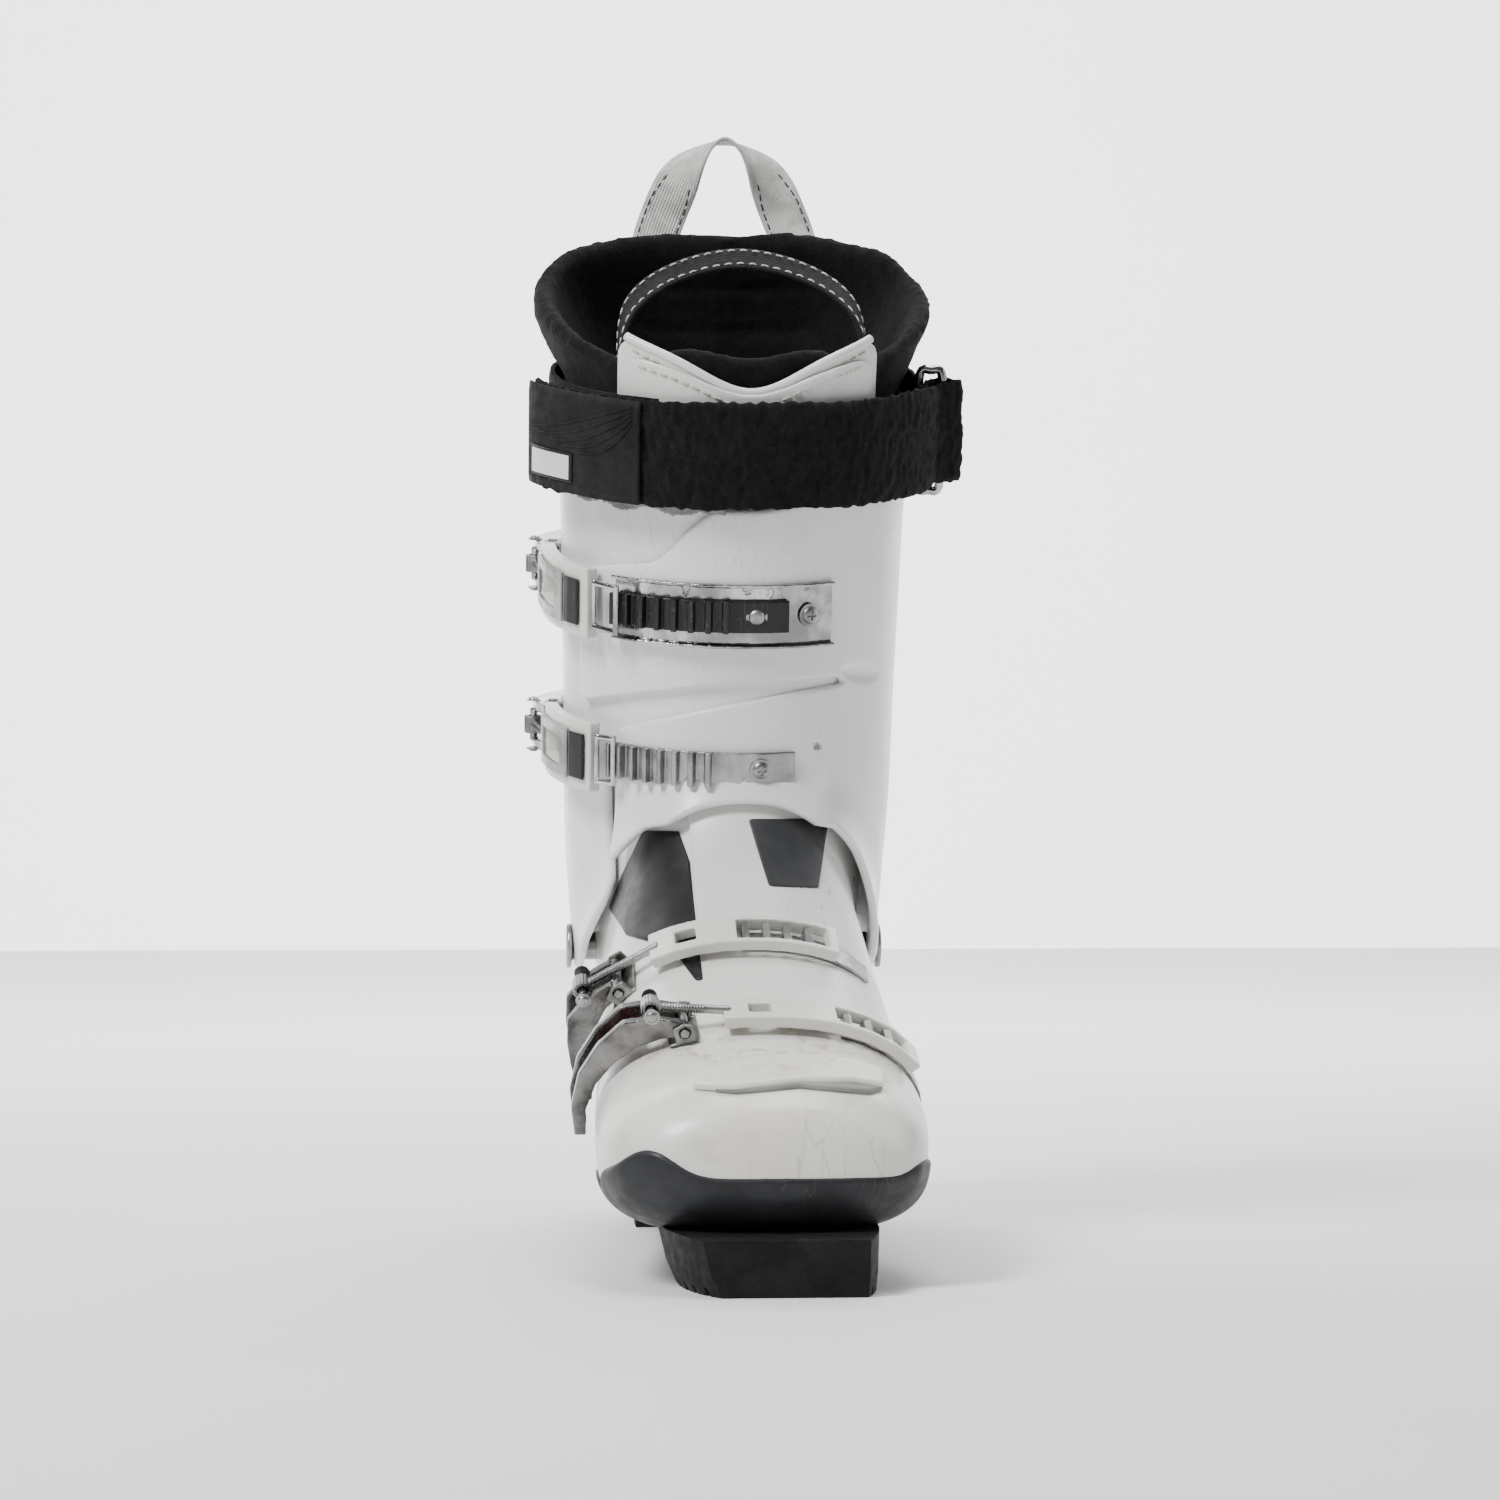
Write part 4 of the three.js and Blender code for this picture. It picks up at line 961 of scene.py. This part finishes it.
def tape(name, path, across, width, thickness, material):
    """A flat tape along a path, with rounded edges and UVs in metres along and across it."""
    cuts = np.linspace(-0.5, 0.5, 13)[1:-1]
    sections, walked = [], [0.0]
    for i, at in enumerate(path):
        ahead, behind = path[min(i + 1, len(path) - 1)], path[max(i - 1, 0)]
        tangent = (ahead - behind) / np.linalg.norm(ahead - behind)
        side = across[i] - tangent * (across[i] @ tangent)
        side /= np.linalg.norm(side)
        out = np.cross(tangent, side)
        half = thickness / 2
        top = [at + side * c * width + out * half for c in cuts[::-1]]
        low = [at + side * c * width - out * half for c in cuts]
        ends = [at + side * (width / 2) + out * h for h in (-half * 0.6, half * 0.6)]
        other = [at - side * (width / 2) + out * h for h in (half * 0.6, -half * 0.6)]
        sections.append(top + other + low + ends)
        if i:
            walked.append(walked[-1] + float(np.linalg.norm(at - path[i - 1])))
    piece = sweep(name, sections, material)
    count = len(sections[0])
    spread = list(cuts[::-1]) + [-0.5, -0.5] + list(cuts) + [0.5, 0.5]
    layer = piece.data.uv_layers.new(name="tape")
    for loop in piece.data.loops:
        row, column = divmod(loop.vertex_index, count)
        layer.data[loop.index].uv = (walked[row], spread[column] * width)
    piece.data.shade_smooth()
    return piece


def stitches(name, path, out, length, gap, radius, material):
    """A row of stitches: short threads lying on a surface along a path."""
    steps = np.concatenate([[0], np.cumsum(np.linalg.norm(np.diff(path, axis=0), axis=1))])
    made = []
    at = gap
    while at + length < steps[-1]:
        ends = [np.array([np.interp(s, steps, path[:, k]) for k in range(3)])
                for s in (at, at + length * 0.5, at + length)]
        row = [end + out * radius * lift * MM for end, lift in zip(ends, (-0.7, 0.6, -0.7))]
        made.append(tube("stitch", row, radius, material, 6, samples=5))
        at += length + gap
    return join(name, made)


def band_path(band, start, end, height, steps):
    """Points along a band at a height in millimetres, which may be a function of the share."""
    rise = height if callable(height) else lambda share: height
    angles = np.linspace(start, end, steps)
    return np.array([band.place(a, rise(i / (steps - 1))) for i, a in enumerate(angles)])


# ---------------------------------------------------------------- power strap

STRAP = BANDS["strap"]
TAIL_LOW = 3.1
TAPE_THICK = STRAP_THICKNESS / MM


def tail_height(share):
    """The tail stands further off the cuff towards both of its ends."""
    return TAIL_LOW + TAPE_THICK / 2 + 4.4 * smoothstep(share, 0.78, 1) \
        + 4.5 * (1 - smoothstep(share, 0, 0.2))


def build_tail():
    """The free tail: over the front, round the ring's outer bar and a little way back beneath itself."""
    path = band_path(STRAP, -73, 73, tail_height, 110)
    bar = STRAP.place(RING_ANGLE, 10.5)
    _, tangent, normal = STRAP.frame(RING_ANGLE)
    turn = [bar + (normal * math.cos(a) + tangent * math.sin(a)) * 6.0 * MM
            for a in np.linspace(0.1, 2.9, 10)]
    under = [STRAP.place(a, 4.6 + (a - 74) * 0.12) for a in (73, 69, 64)]
    whole = smooth_path(np.concatenate([path[::6], turn, under]), 190)
    across = [STRAP.axis] * len(whole)
    piece = tape("power_strap_tail", whole, across, STRAP_WIDTH, STRAP_THICKNESS, FELT)
    divide = piece.modifiers.new("fine", "SUBSURF")
    divide.levels = divide.render_levels = 1
    apply_modifiers(piece)
    return fuzz(piece, 0.0009, 420, 0.0014)


def build_patch():
    """The smooth end of the tail, with raised curved ridges. Its blank label is made by build_label."""
    path = band_path(STRAP, -74, -28, lambda s: tail_height(s * 0.31) + 2.0, 60)
    piece = tape("strap_end_patch_skin", path, [STRAP.axis] * 60, STRAP_WIDTH - 0.0012, 0.0014, PATCH)
    ridges = []
    for k in range(5):
        start = -70 + 5.5 * k
        points = []
        for s in np.linspace(0, 1, 12):
            angle = start + s * (40 - 5.5 * k)
            share = (angle + 74) / 46 * 0.31
            across = 3.0 + 12.5 * (s ** (1.5 + 0.35 * k)) - 1.4 * k
            points.append(STRAP.place(angle, tail_height(share) + 2.75, across))
        ridges.append(tube("ridge", points, 0.42, PATCH, 8, samples=34))
    return join("strap_patch", [piece] + ridges)


def build_label():
    """A blank label: a light face on a dark backing."""
    def layer(low, high, start, run, left, right):
        def profile(share):
            lift = tail_height(start + share * run)
            return low + lift, high + lift, left, right
        return profile
    backing = layer(2.6, 3.4, 0.03, 0.13, -13.5, -3.5)
    front = layer(3.4, 3.7, 0.04, 0.12, -12.6, -4.4)
    base = strip("label", STRAP, -69, -50, backing, LABEL, 12, 0.0003)
    face = strip("label_face", STRAP, -68, -51, front, TONGUE_WHITE, 12, 0.0001)
    return join("strap_label", [base, face])


def build_strap_back():
    """The fixed part of the strap, from the ring round the back."""
    path = band_path(STRAP, RING_ANGLE + 4, 335, 1.3, 130)
    piece = tape("power_strap_back", path, [STRAP.axis] * 130, STRAP_WIDTH, STRAP_THICKNESS, FELT)
    return fuzz(piece, 0.0003, 420)


def build_ring():
    """The rectangular wire ring that the tail runs through."""
    half = STRAP_WIDTH / MM / 2 + 3
    corners = [STRAP.place(RING_ANGLE, height, across)
               for height, across in ((2.4, -half), (10.5, -half), (10.5, half), (2.4, half))]
    points = []
    for i, corner in enumerate(corners):
        after = corners[(i + 1) % 4]
        points += [corner * (1 - s) + after * s for s in (0.12, 0.5, 0.88)]
    return tube("strap_ring_wire", points, 1.6, CHROME, 16, closed=True, samples=90)


def build_loop_fuzz():
    """The grey loop side of the fastener, which peeps out on the cuff below the strap."""
    def outline(s):
        return -0.4, 0.35, -20.5 - 1.2 * math.sin(s * 19) * math.sin(s * 3.1), -17
    piece = strip("loop_strip", STRAP, -58, -6, outline, LOOP_FUZZ, 50)
    return fuzz(melt(piece, 0.0008, 2), 0.0007, 700)


show(build_tail(), "strap_tail", "black_webbing", "strap_tail")
show(build_patch(), "strap_tail", "strap_rubber", "strap_end_patch")
show(build_label(), "strap_tail", "strap_rubber")
show(build_strap_back(), "cuff", "black_webbing", "strap_back")
show(build_ring(), "cuff", "wire_steel", "strap_ring")
show(build_loop_fuzz(), "cuff", "black_webbing")


# ---------------------------------------------------------------- liner

COLLAR_TOP_Y = [-0.19, -0.14, -0.121, -0.091, -0.049, -0.001, 0.07]
COLLAR_TOP_Z = [0.281, 0.287, 0.307, 0.327, 0.350, 0.361, 0.361]


def collar_offset(position, angles):
    """Snug under the cuff, then flaring out above it, most at the sides."""
    lift = smoothstep(position, 15.75, 17.0)
    side = np.abs(np.sin(angles))
    return (0.8 + lift * (11.5 * side + 5)) * MM


def build_collar():
    """A padded collar, with an opening for the tongue, round flared wings and sewn channels inside."""
    points, faces = form(collar_offset, 11, LAST, rows=120, columns=200)
    x, y, z = points.T
    crown = 0.010 * np.clip(np.abs(x) / 0.075, 0, 1) ** 3
    top = np.interp(y, COLLAR_TOP_Y, COLLAR_TOP_Z) - crown - z
    low = z - np.interp(y, [-0.15, -0.04, 0.07], [0.186, 0.170, 0.165])
    slot = np.where(y < -0.06, np.abs(x) - 0.031 - 0.004 * smoothstep(z, 0.29, 0.33), 0.05)
    value = round_min(0.012, top, low, slot)
    piece = shell_piece("collar_padding", points, faces, value, 7.5 * MM, 6, PLUSH)
    melt(piece, 0.0023, 8, 0.6)
    co = coordinates_of(piece.data)
    inside = smoothstep(co[:, 1], -0.045, -0.02)
    for level in (0.322, 0.337):
        crease = np.exp(-((co[:, 2] - level - 0.10 * co[:, 0] ** 2 * 10) / 0.0017) ** 2)
        away = co[:, :2] - np.array([0, -0.07])
        away /= np.linalg.norm(away, axis=1, keepdims=True)
        co[:, :2] += away * (crease * inside * 0.0022)[:, None]
    move_vertices(piece.data, co)
    return fuzz(piece, 0.0005, 500, 0.0022)


def front_skin(name, offset, half, low, high, wall, material, dip=0.0, corner=0.006, rise=0.0):
    """A sheet over the shin between two heights, whose upper edge dips in the middle."""
    points, faces = form(offset, 11, LAST, rows=150, columns=260)
    x, y, z = points.T
    edge = high - dip * np.exp(-(x / (half * 0.55)) ** 2) + rise * np.clip(np.abs(x) / half, 0, 1) ** 4
    value = round_min(corner, edge - z, z - low, half - np.abs(x), -0.09 - y)
    return shell_piece(name, points, faces, value, wall, 6, material)


def facing_edge(half, high, dip, rise, offset, lower, samples=80):
    """The sheet's upper edge, a little way below it, as points on the skin."""
    points, faces = form(offset, 13, LAST, rows=80, columns=200)
    tree = search_tree(points, faces)
    found = []
    for x in np.linspace(-half, half, samples):
        z = high - dip * math.exp(-(x / (half * 0.55)) ** 2) + rise * abs(x / half) ** 4 - lower
        found.append(np.array(tree.ray_cast(Vector((x, -0.3, z)), Vector((0, 1, 0)))[0]))
    return np.array(found)


def facing_seam(name, *edge):
    """A row of light stitches that follows the facing's upper edge."""
    path = facing_edge(*edge)
    return stitches(name, path, np.array([0, -1.0, 0.1]), 0.0028, 0.0012, 0.32, THREAD_LIGHT)


collar = build_collar()
show(collar, "cuff", "liner_fabric", "liner_upper")
tongue = front_skin("tongue_pad", 0.9 * MM, 0.0295, 0.187, 0.300, 6.5 * MM, PLUSH, dip=0.004)
fuzz(melt(tongue, 0.0016, 5), 0.0004, 500)
show(tongue, "cuff", "liner_fabric", "tongue")
facing = front_skin("tongue_front", 6.9 * MM, 0.0415, 0.266, 0.297, 1.7 * MM, TONGUE_WHITE,
                    dip=0.011, rise=0.004)
inner = front_skin("tongue_inner", 4.9 * MM, 0.0435, 0.270, 0.302, 1.5 * MM, TONGUE_WHITE,
                   dip=0.014, rise=0.006)
rim = tube("tongue_rim", facing_edge(0.041, 0.302, 0.014, 0.006, 4.4 * MM, 0.0), 1.5, TONGUE_WHITE, 12)
seams = [facing_seam("seam", 0.040, 0.302, 0.014, 0.006, 5.2 * MM, 0.004),
         facing_seam("seam", 0.038, 0.297, 0.011, 0.004, 7.2 * MM, 0.003)]
show(join("tongue_facing_sewn", [facing, inner, rim] + seams), "cuff", "tongue_white", "tongue_facing")


def arch(points, samples=90):
    return smooth_path(np.array(points), samples)


def build_heel_loop():
    """Light webbing whose face looks forwards at its legs and turns over at the top."""
    low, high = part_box("heel_loop")
    y = (low[1] + high[1]) / 2
    tree = BVHTree.FromObject(collar, bpy.context.evaluated_depsgraph_get())

    def collar_back(x, z):
        return tree.ray_cast(Vector((x, 0.2, z)), Vector((0, -1, 0)))[0].y

    half = [(0.0290, collar_back(0.0290, 0.324) - 0.0005, 0.324), (0.0290, collar_back(0.0290, 0.336), 0.336),
            (0.0275, collar_back(0.0275, 0.346) + 0.0015, 0.346), (0.0225, y + 0.001, 0.364),
            (0.013, y, 0.3835)]
    path = arch([(-x, y_at, z) for x, y_at, z in half] + [(0, y, 0.3925)] + half[::-1])
    across = []
    for i in range(len(path)):
        share = i / (len(path) - 1)
        ahead, behind = path[min(i + 1, len(path) - 1)], path[max(i - 1, 0)]
        flat = np.cross(ahead - behind, np.array([0, 1.0, 0]))
        flat /= np.linalg.norm(flat)
        lean = 1 - min(1, abs(share - 0.5) * 5)
        across.append(flat * (1 - lean) + np.array([0, 1.0, 0]) * lean)
    piece = tape("heel_loop_tape", path, across, 0.0165, 0.0015, GREY_WEB)
    rows = []
    for part in (slice(3, 34), slice(56, 87)):
        for shift in (-0.0066, 0.0066):
            row = path[part] + np.array(across[part]) * shift + np.array([0, -0.00085, 0])
            rows.append(stitches("seam", row, np.array([0, -1.0, 0]), 0.0024, 0.0013, 0.28, THREAD_DARK))
    return join("heel_loop_webbing", [piece] + rows)


LOOP_FRONT = np.array([0, -1, 0.2])
LOOP_UP = np.array([0, -0.7, 0.7])


def build_tongue_loop():
    """Black webbing over the tongue, with two rows of light stitches on its front."""
    y = 0.035 - 0.50 * SOLE_LENGTH
    leg = [(0.038, 0, 0.290), (0.0415, 0.002, 0.304), (0.0375, 0.005, 0.3215), (0.023, 0.008, 0.333)]
    points = [(-x, y + dy, z) for x, dy, z in leg] + [(0, y + 0.010, 0.3385)]
    points += [(x, y + dy, z) for x, dy, z in reversed(leg)]
    path = arch(points, 110)
    across = [np.array([0, 0.75, 0.66])] * len(path)
    piece = tape("tongue_loop_tape", path, across, 0.0115, 0.0018, BLACK_WEB)
    rows = []
    for shift in (-0.0040, 0.0040):
        frames = path_frames(path, across=across[0])
        row = np.array([at + side * shift + out * 0.0010 * np.sign(out @ LOOP_FRONT)
                        for at, (_, side, out) in zip(path, frames)])
        rows.append(stitches("seam", row, LOOP_UP, 0.0024, 0.0018, 0.3, THREAD_LIGHT))
    return join("tongue_loop_webbing", [piece] + rows)


show(build_heel_loop(), "cuff", "grey_webbing", "heel_loop")
show(build_tongue_loop(), "cuff", "black_webbing", "tongue_loop")


def build_liner_foot():
    """The padded foot of the liner, inside the lower shell."""
    points, faces = form(-4.5 * MM, rows=90, columns=120)
    share = (HEEL_BACK - points[:, 1]) / SOLE_LENGTH
    top = np.interp(share, [0.25, 0.45], [0.44, 0.477]) * CUFF_HEIGHT - points[:, 2]
    value = round_min(0.004, top, points[:, 2] - 0.0295)
    piece = shell_piece("liner_foot_padding", points, faces, value, 5.2 * MM, 5, PLUSH)
    return fuzz(melt(piece, 0.0028, 4), 0.0004, 400)


foot = build_liner_foot()
show(foot, "boot_shell", "liner_fabric", "liner_foot")
footbed = remake("footbed_pad", "footbed", PATCH, 0.0016)
show(footbed, "boot_shell", "liner_fabric", "footbed")
show(remake("bootboard_block", "bootboard", FRAME_DARK, 0.0018), "boot_shell", "dark_plastic", "bootboard")
show(remake("spine_panel", "rear_spine", FRAME_DARK, 0.0007), "cuff", "dark_plastic", "rear_spine")


# ---------------------------------------------------------------- inserts and badge

def inside(outline, x, z):
    """Distance into a polygon in the front view, below 0 outside it. Corners are x in mm and height share."""
    corners = [(cx * MM, share * CUFF_HEIGHT) for cx, share in outline]
    nearest = np.full(len(x), 1.0)
    within = np.zeros(len(x), bool)
    for (ax, az), (bx, bz) in zip(corners, corners[1:] + corners[:1]):
        run = np.clip(((x - ax) * (bx - ax) + (z - az) * (bz - az)) / ((bx - ax) ** 2 + (bz - az) ** 2), 0, 1)
        nearest = np.minimum(nearest, np.hypot(x - ax - run * (bx - ax), z - az - run * (bz - az)))
        if az != bz:
            crosses = ((az > z) != (bz > z)) & (x < (bx - ax) * (z - az) / (bz - az) + ax)
            within ^= crosses
    return np.where(within, nearest, -nearest)


def decal(name, outline, offset, start, end, front, wall, material, round_off=0.0008):
    """A thin moulded piece set on the form, cut to an outline seen from the front."""
    points, faces = form(offset, start, end, rows=260, columns=520)
    value = round_min(0.002, inside(outline, points[:, 0], points[:, 2]) - round_off, front - points[:, 1])
    return shell_piece(name, points, faces, value, wall, 6, material)


LATERAL = [(-34, 0.432), (-22, 0.432), (-18.6, 0.40), (-17.0, 0.275), (-20, 0.285), (-27, 0.315),
           (-41, 0.325), (-45, 0.35), (-41, 0.385)]
MEDIAL = [(1, 0.445), (32, 0.445), (25, 0.372), (7, 0.374)]
BADGE = [(-26, 0.195), (-20, 0.210), (-8, 0.2195), (10, 0.2225), (28, 0.216), (37, 0.206), (35, 0.192),
         (26, 0.197), (8, 0.199), (-12, 0.193)]
BADGE_LIP = [(-27, 0.192), (-12, 0.197), (8, 0.201), (34, 0.199), (36, 0.189), (30, 0.186), (8, 0.193),
             (-12, 0.188)]
show(decal("insert_lateral", LATERAL, 0.9 * MM, 5.5, 12.6, -0.075, 1.3 * MM, INSERT_DARK), "boot_shell",
     "dark_insert", "instep_insert_lateral")
show(decal("insert_medial", MEDIAL, flap_rise(0.15), 6, 12.6, -0.075, 0.9 * MM, INSERT_GREY), "boot_shell",
     "dark_insert", "instep_insert_medial")
badge = decal("badge", BADGE, 2.9 * MM, 1, 6.5, -0.19, 3.1 * MM, WHITE)
lip = decal("badge_lip", BADGE_LIP, 1.7 * MM, 1, 6.5, -0.19, 2.0 * MM, LIP_GREY)
show(join("toe_badge_crescent", [badge, lip]), "boot_shell", "badge_plastic", "toe_badge")


# ---------------------------------------------------------------- hardware

def slotted(piece, band, start, end, half):
    """Cuts a long round-ended slot through a lever, from well below it to well above."""
    def outline(share):
        width = half * math.sqrt(max(0.05, 1 - abs(2 * share - 1) ** 6))
        return -6.0, 26.0, -width, width
    return boolean(piece, [strip("slot", band, start, end, outline, None, 16)])


def welded_copy(name, node, material):
    """A copy whose seams are closed, ready to be cut."""
    piece = copy_of(name, node, material)
    weld = piece.modifiers.new("weld", "WELD")
    weld.merge_threshold = 1e-6
    return apply_modifiers(piece)


THREAD_PITCH = 0.9 * MM
THREAD_DEPTH = 0.16 * MM


def threaded(piece):
    """Rolls a thread into the middle of a rod, along its longest direction."""
    co = coordinates_of(piece.data)
    centre = co.mean(axis=0)
    _, _, directions = np.linalg.svd(co - centre, full_matrices=False)
    run = (co - centre) @ directions[0]
    away = co - centre - np.outer(run, directions[0])
    radius = np.maximum(np.linalg.norm(away, axis=1, keepdims=True), 1e-9)
    wave = np.sin(run / THREAD_PITCH * 2 * math.pi) * (np.abs(run) < 0.36 * np.ptp(run))
    co += away / radius * (wave * THREAD_DEPTH)[:, None]
    move_vertices(piece.data, co)
    return piece


def fastener(name, band, degrees, height, radius, dome, material, drive=True):
    """A screw or rivet head standing on a band."""
    base, tangent, normal = band.frame(degrees)
    return domed_head(name, base + normal * height * MM, tangent, normal, radius, dome, material, drive)


def domed_head(name, centre, tangent, normal, radius, dome, material, drive=False):
    """A domed head on a thin washer, with a cross cut in it for a screw."""
    rings = [(radius * 1.35, 0.0), (radius * 1.35, 0.35), (radius * 1.02, 0.4)]
    rings += [(radius * math.cos(t) ** 0.7, 0.4 + dome * math.sin(t)) for t in np.linspace(0, 1.45, 9)]
    side = np.cross(normal, tangent)
    sections = [[centre + (tangent * math.cos(a) * r + side * math.sin(a) * r + normal * h) * MM
                 for a in np.linspace(0, 2 * math.pi, 32, endpoint=False)] for r, h in rings]
    piece = sweep(name, sections, material)
    if drive:
        top = centre + normal * (0.4 + dome) * MM
        for first, second in ((tangent, side), (side, tangent)):
            bar = ((-0.38, -0.8), (0.38, -0.8), (0.38, 0.8), (-0.38, 0.8))
            ends = [[top + (first * end * radius * 0.55 + second * w + normal * d) * MM for w, d in bar]
                    for end in (-1, 1)]
            boolean(piece, [sweep("cross", ends, None)])
    piece.data.shade_smooth()
    return round_edges(piece, 0.12 * MM, 2, 40)


TOP, LOW = BANDS["cuff_top"], BANDS["cuff_low"]

for node, body, material, slot, voxel in (
        ("rack_plate_top", "cuff", CHROME, "chrome_plate", 0.33),
        ("rack_top", "cuff", BLACK_RACK, "black_rack", 0.36),
        ("rack_low", "cuff", STEEL, "buckle_steel", 0.36),
        ("rack_instep", "boot_shell", STEEL, "buckle_steel", 0.33),
        ("rack_toe", "boot_shell", STEEL, "buckle_steel", 0.33),
        ("ankle_rivet_lateral", "boot_shell", STEEL, "pin_steel", 0.5),
        ("ankle_rivet_medial", "boot_shell", STEEL, "pin_steel", 0.5),
        ("spine_bolt", "cuff", STEEL, "pin_steel", 0.35)):
    show(remake(node + "_formed", node, material, voxel * MM, 3), body, slot, node)

show(fastener("rivet_head", TOP, 2.5, 2.9, 2.7, 1.3, STEEL, False), "cuff", "pin_steel", "rack_rivet_top")
show(fastener("screw_head_top", TOP, 17, 2.1, 3.0, 1.2, STEEL), "cuff", "pin_steel", "rack_screw_top")
show(fastener("screw_head_low", LOW, 4.5, 1.9, 2.9, 1.1, STEEL), "cuff", "pin_steel", "rack_screw_low")


def pin_heads(name, joint_names, node, material):
    """Domed heads on both ends of the pins that a lever turns on."""
    bpy.context.view_layer.update()
    source = frame["nodes"][node]
    points = np.array([tuple(source.matrix_world @ v.co) for v in source.data.vertices])
    made = []
    for joint_name in joint_names:
        joint = next(j for j in frame["joints"] if j["name"] == joint_name)
        at, axis = np.array(joint["pos_m"]), np.array(joint["axis"], float)
        axis /= np.linalg.norm(axis)
        near = points[np.linalg.norm(np.cross(points - at, axis), axis=1) < 0.0045]
        spread = (near - at) @ axis
        tangent = np.cross(axis, np.array([1.0, 0, 0]))
        tangent /= np.linalg.norm(tangent)
        for end in (spread.min(), spread.max()):
            made.append(domed_head("head", at + axis * end, tangent, axis * np.sign(end), 1.9, 1.0, material))
    return join(name, made)


def buckle_piece(name, looks, node, material, voxel, relax, body, slot):
    """Shows one small CAD piece of a buckle under its own looks' name, with its edges melted round."""
    piece = remake(f"{name}_{looks}", f"{name}_{node}", material, voxel * MM, relax)
    if node == "rod":
        threaded(piece)
    show(piece, body, slot, f"{name}_{node}")


def show_buckle(name, band, fixed, slot_start, slot_end, slot_half, lower):
    """One buckle. The lower ones have a coloured insert; the upper ones have a frame, a plate and a wire."""
    lever, arm, wire = (f"{name}_{part}" for part in ("lever", "arm", "wire"))
    buckle_piece(name, "ear", "base", ZINC, 0.4, 2, fixed, "pin_steel")
    buckle_piece(name, "hinge_pin", "pin", STEEL, 0.28, 2, fixed, "pin_steel")
    handle = welded_copy(name + "_handle", lever, DARK_CHROME if lower else CHROME)
    slotted(handle, band, slot_start, slot_end, slot_half)
    show(melt(handle, 0.42 * MM, 4), lever, "lever_steel", lever)
    show(melt(welded_copy(name + "_white_arm", arm, ARM_WHITE), 0.42 * MM, 5), arm, "white_arm", arm)
    buckle_piece(name, "threaded_rod", "rod", STEEL, 0.26, 2, arm, "pin_steel")
    heads = pin_heads(name + "_pin_heads", (name + "_open", name + "_lift"), lever, STEEL)
    show(heads, lever, "pin_steel")
    if lower:
        buckle_piece(name, "coloured_insert", "insert", BURGUNDY, 0.35, 4, lever, "burgundy_plastic")
    else:
        buckle_piece(name, "steel_frame", "frame", STEEL, 0.3, 3, arm, "buckle_steel")
        buckle_piece(name, "black_plate", "plate", LABEL, 0.3, 2, arm, "badge_plastic")
        buckle_piece(name, "wire", "loop", CHROME, 0.27, 3, wire, "wire_steel")


show_buckle("instep_buckle", BANDS["instep"], "boot_shell", -93, -63, 2.3, True)
show_buckle("toe_buckle", BANDS["toe"], "boot_shell", -80, -49, 2.3, True)
show_buckle("top_buckle", TOP, "cuff", -140, -116, 2.6, False)
show_buckle("low_buckle", LOW, "cuff", -138, -114, 2.6, False)


# ---------------------------------------------------------------- floor, lights, camera

def lamp(name, place, aim, size, power):
    light = bpy.data.lights.new(name, "AREA")
    light.shape = "RECTANGLE"
    light.size, light.size_y = size
    light.energy = power
    made = linked(name, light)
    made.location = place
    made.rotation_euler = (Vector(aim) - Vector(place)).to_track_quat("-Z", "Y").to_euler()


def sheet(name, corners, finish):
    mesh = bpy.data.meshes.new(name)
    mesh.from_pydata(corners, [], [(0, 1, 2, 3)])
    return linked(name, mesh, finish)


def set_stage():
    """A pale floor and a lit backdrop, with soft lamps above, beside and behind the boot."""
    pale = Finish("floor_paper", (0.80, 0.80, 0.80), (0.78, 0.78, 0.78), (0.7, 0.8), 3)
    floor = sheet("floor", [(-5, -5, 0), (5, -5, 0), (5, 5, 0), (-5, 5, 0)], pale)
    bright = Finish("backdrop_paper", (0.9, 0.9, 0.9), (0.88, 0.88, 0.88), (0.8, 0.9), 2)
    bright.shader.inputs["Emission Color"].default_value = (1, 1, 1, 1)
    bright.shader.inputs["Emission Strength"].default_value = 1.6
    wall = sheet("backdrop", [(-5, 3.2, -1), (5, 3.2, -1), (5, 3.2, 5), (-5, 3.2, 5)], bright)
    world = bpy.data.worlds.new("studio")
    bpy.context.scene.world = world
    world.use_nodes = True
    world.node_tree.nodes["Background"].inputs["Color"].default_value = (0.93, 0.95, 1.0, 1)
    world.node_tree.nodes["Background"].inputs["Strength"].default_value = 0.16
    lamp("key", (-0.75, -0.8, 1.15), (0, -0.08, 0.17), (0.4, 0.5), 25)
    lamp("side", (1.3, -0.3, 0.5), (0, -0.1, 0.2), (0.4, 0.9), 4)
    lamp("top", (0.1, -0.1, 1.5), (0, -0.1, 0.2), (0.6, 0.6), 11)
    lamp("back", (0, 1.1, 1.6), (0, 2.2, 0.3), (2.5, 1.0), 95)


def set_camera():
    camera = bpy.data.cameras.new("camera")
    camera.lens = 103
    camera.sensor_width = 36
    made = linked("camera", camera)
    azimuth, elevation, distance = math.radians(-4.3), math.radians(-0.9), 1.462
    target = Vector((0.0024, -0.115, 0.1697))
    away = Vector((math.sin(azimuth) * math.cos(elevation), -math.cos(azimuth) * math.cos(elevation),
                   math.sin(elevation)))
    made.location = target + away * distance
    made.rotation_euler = (-away).to_track_quat("-Z", "Y").to_euler()
    bpy.context.scene.camera = made


set_stage()
set_camera()
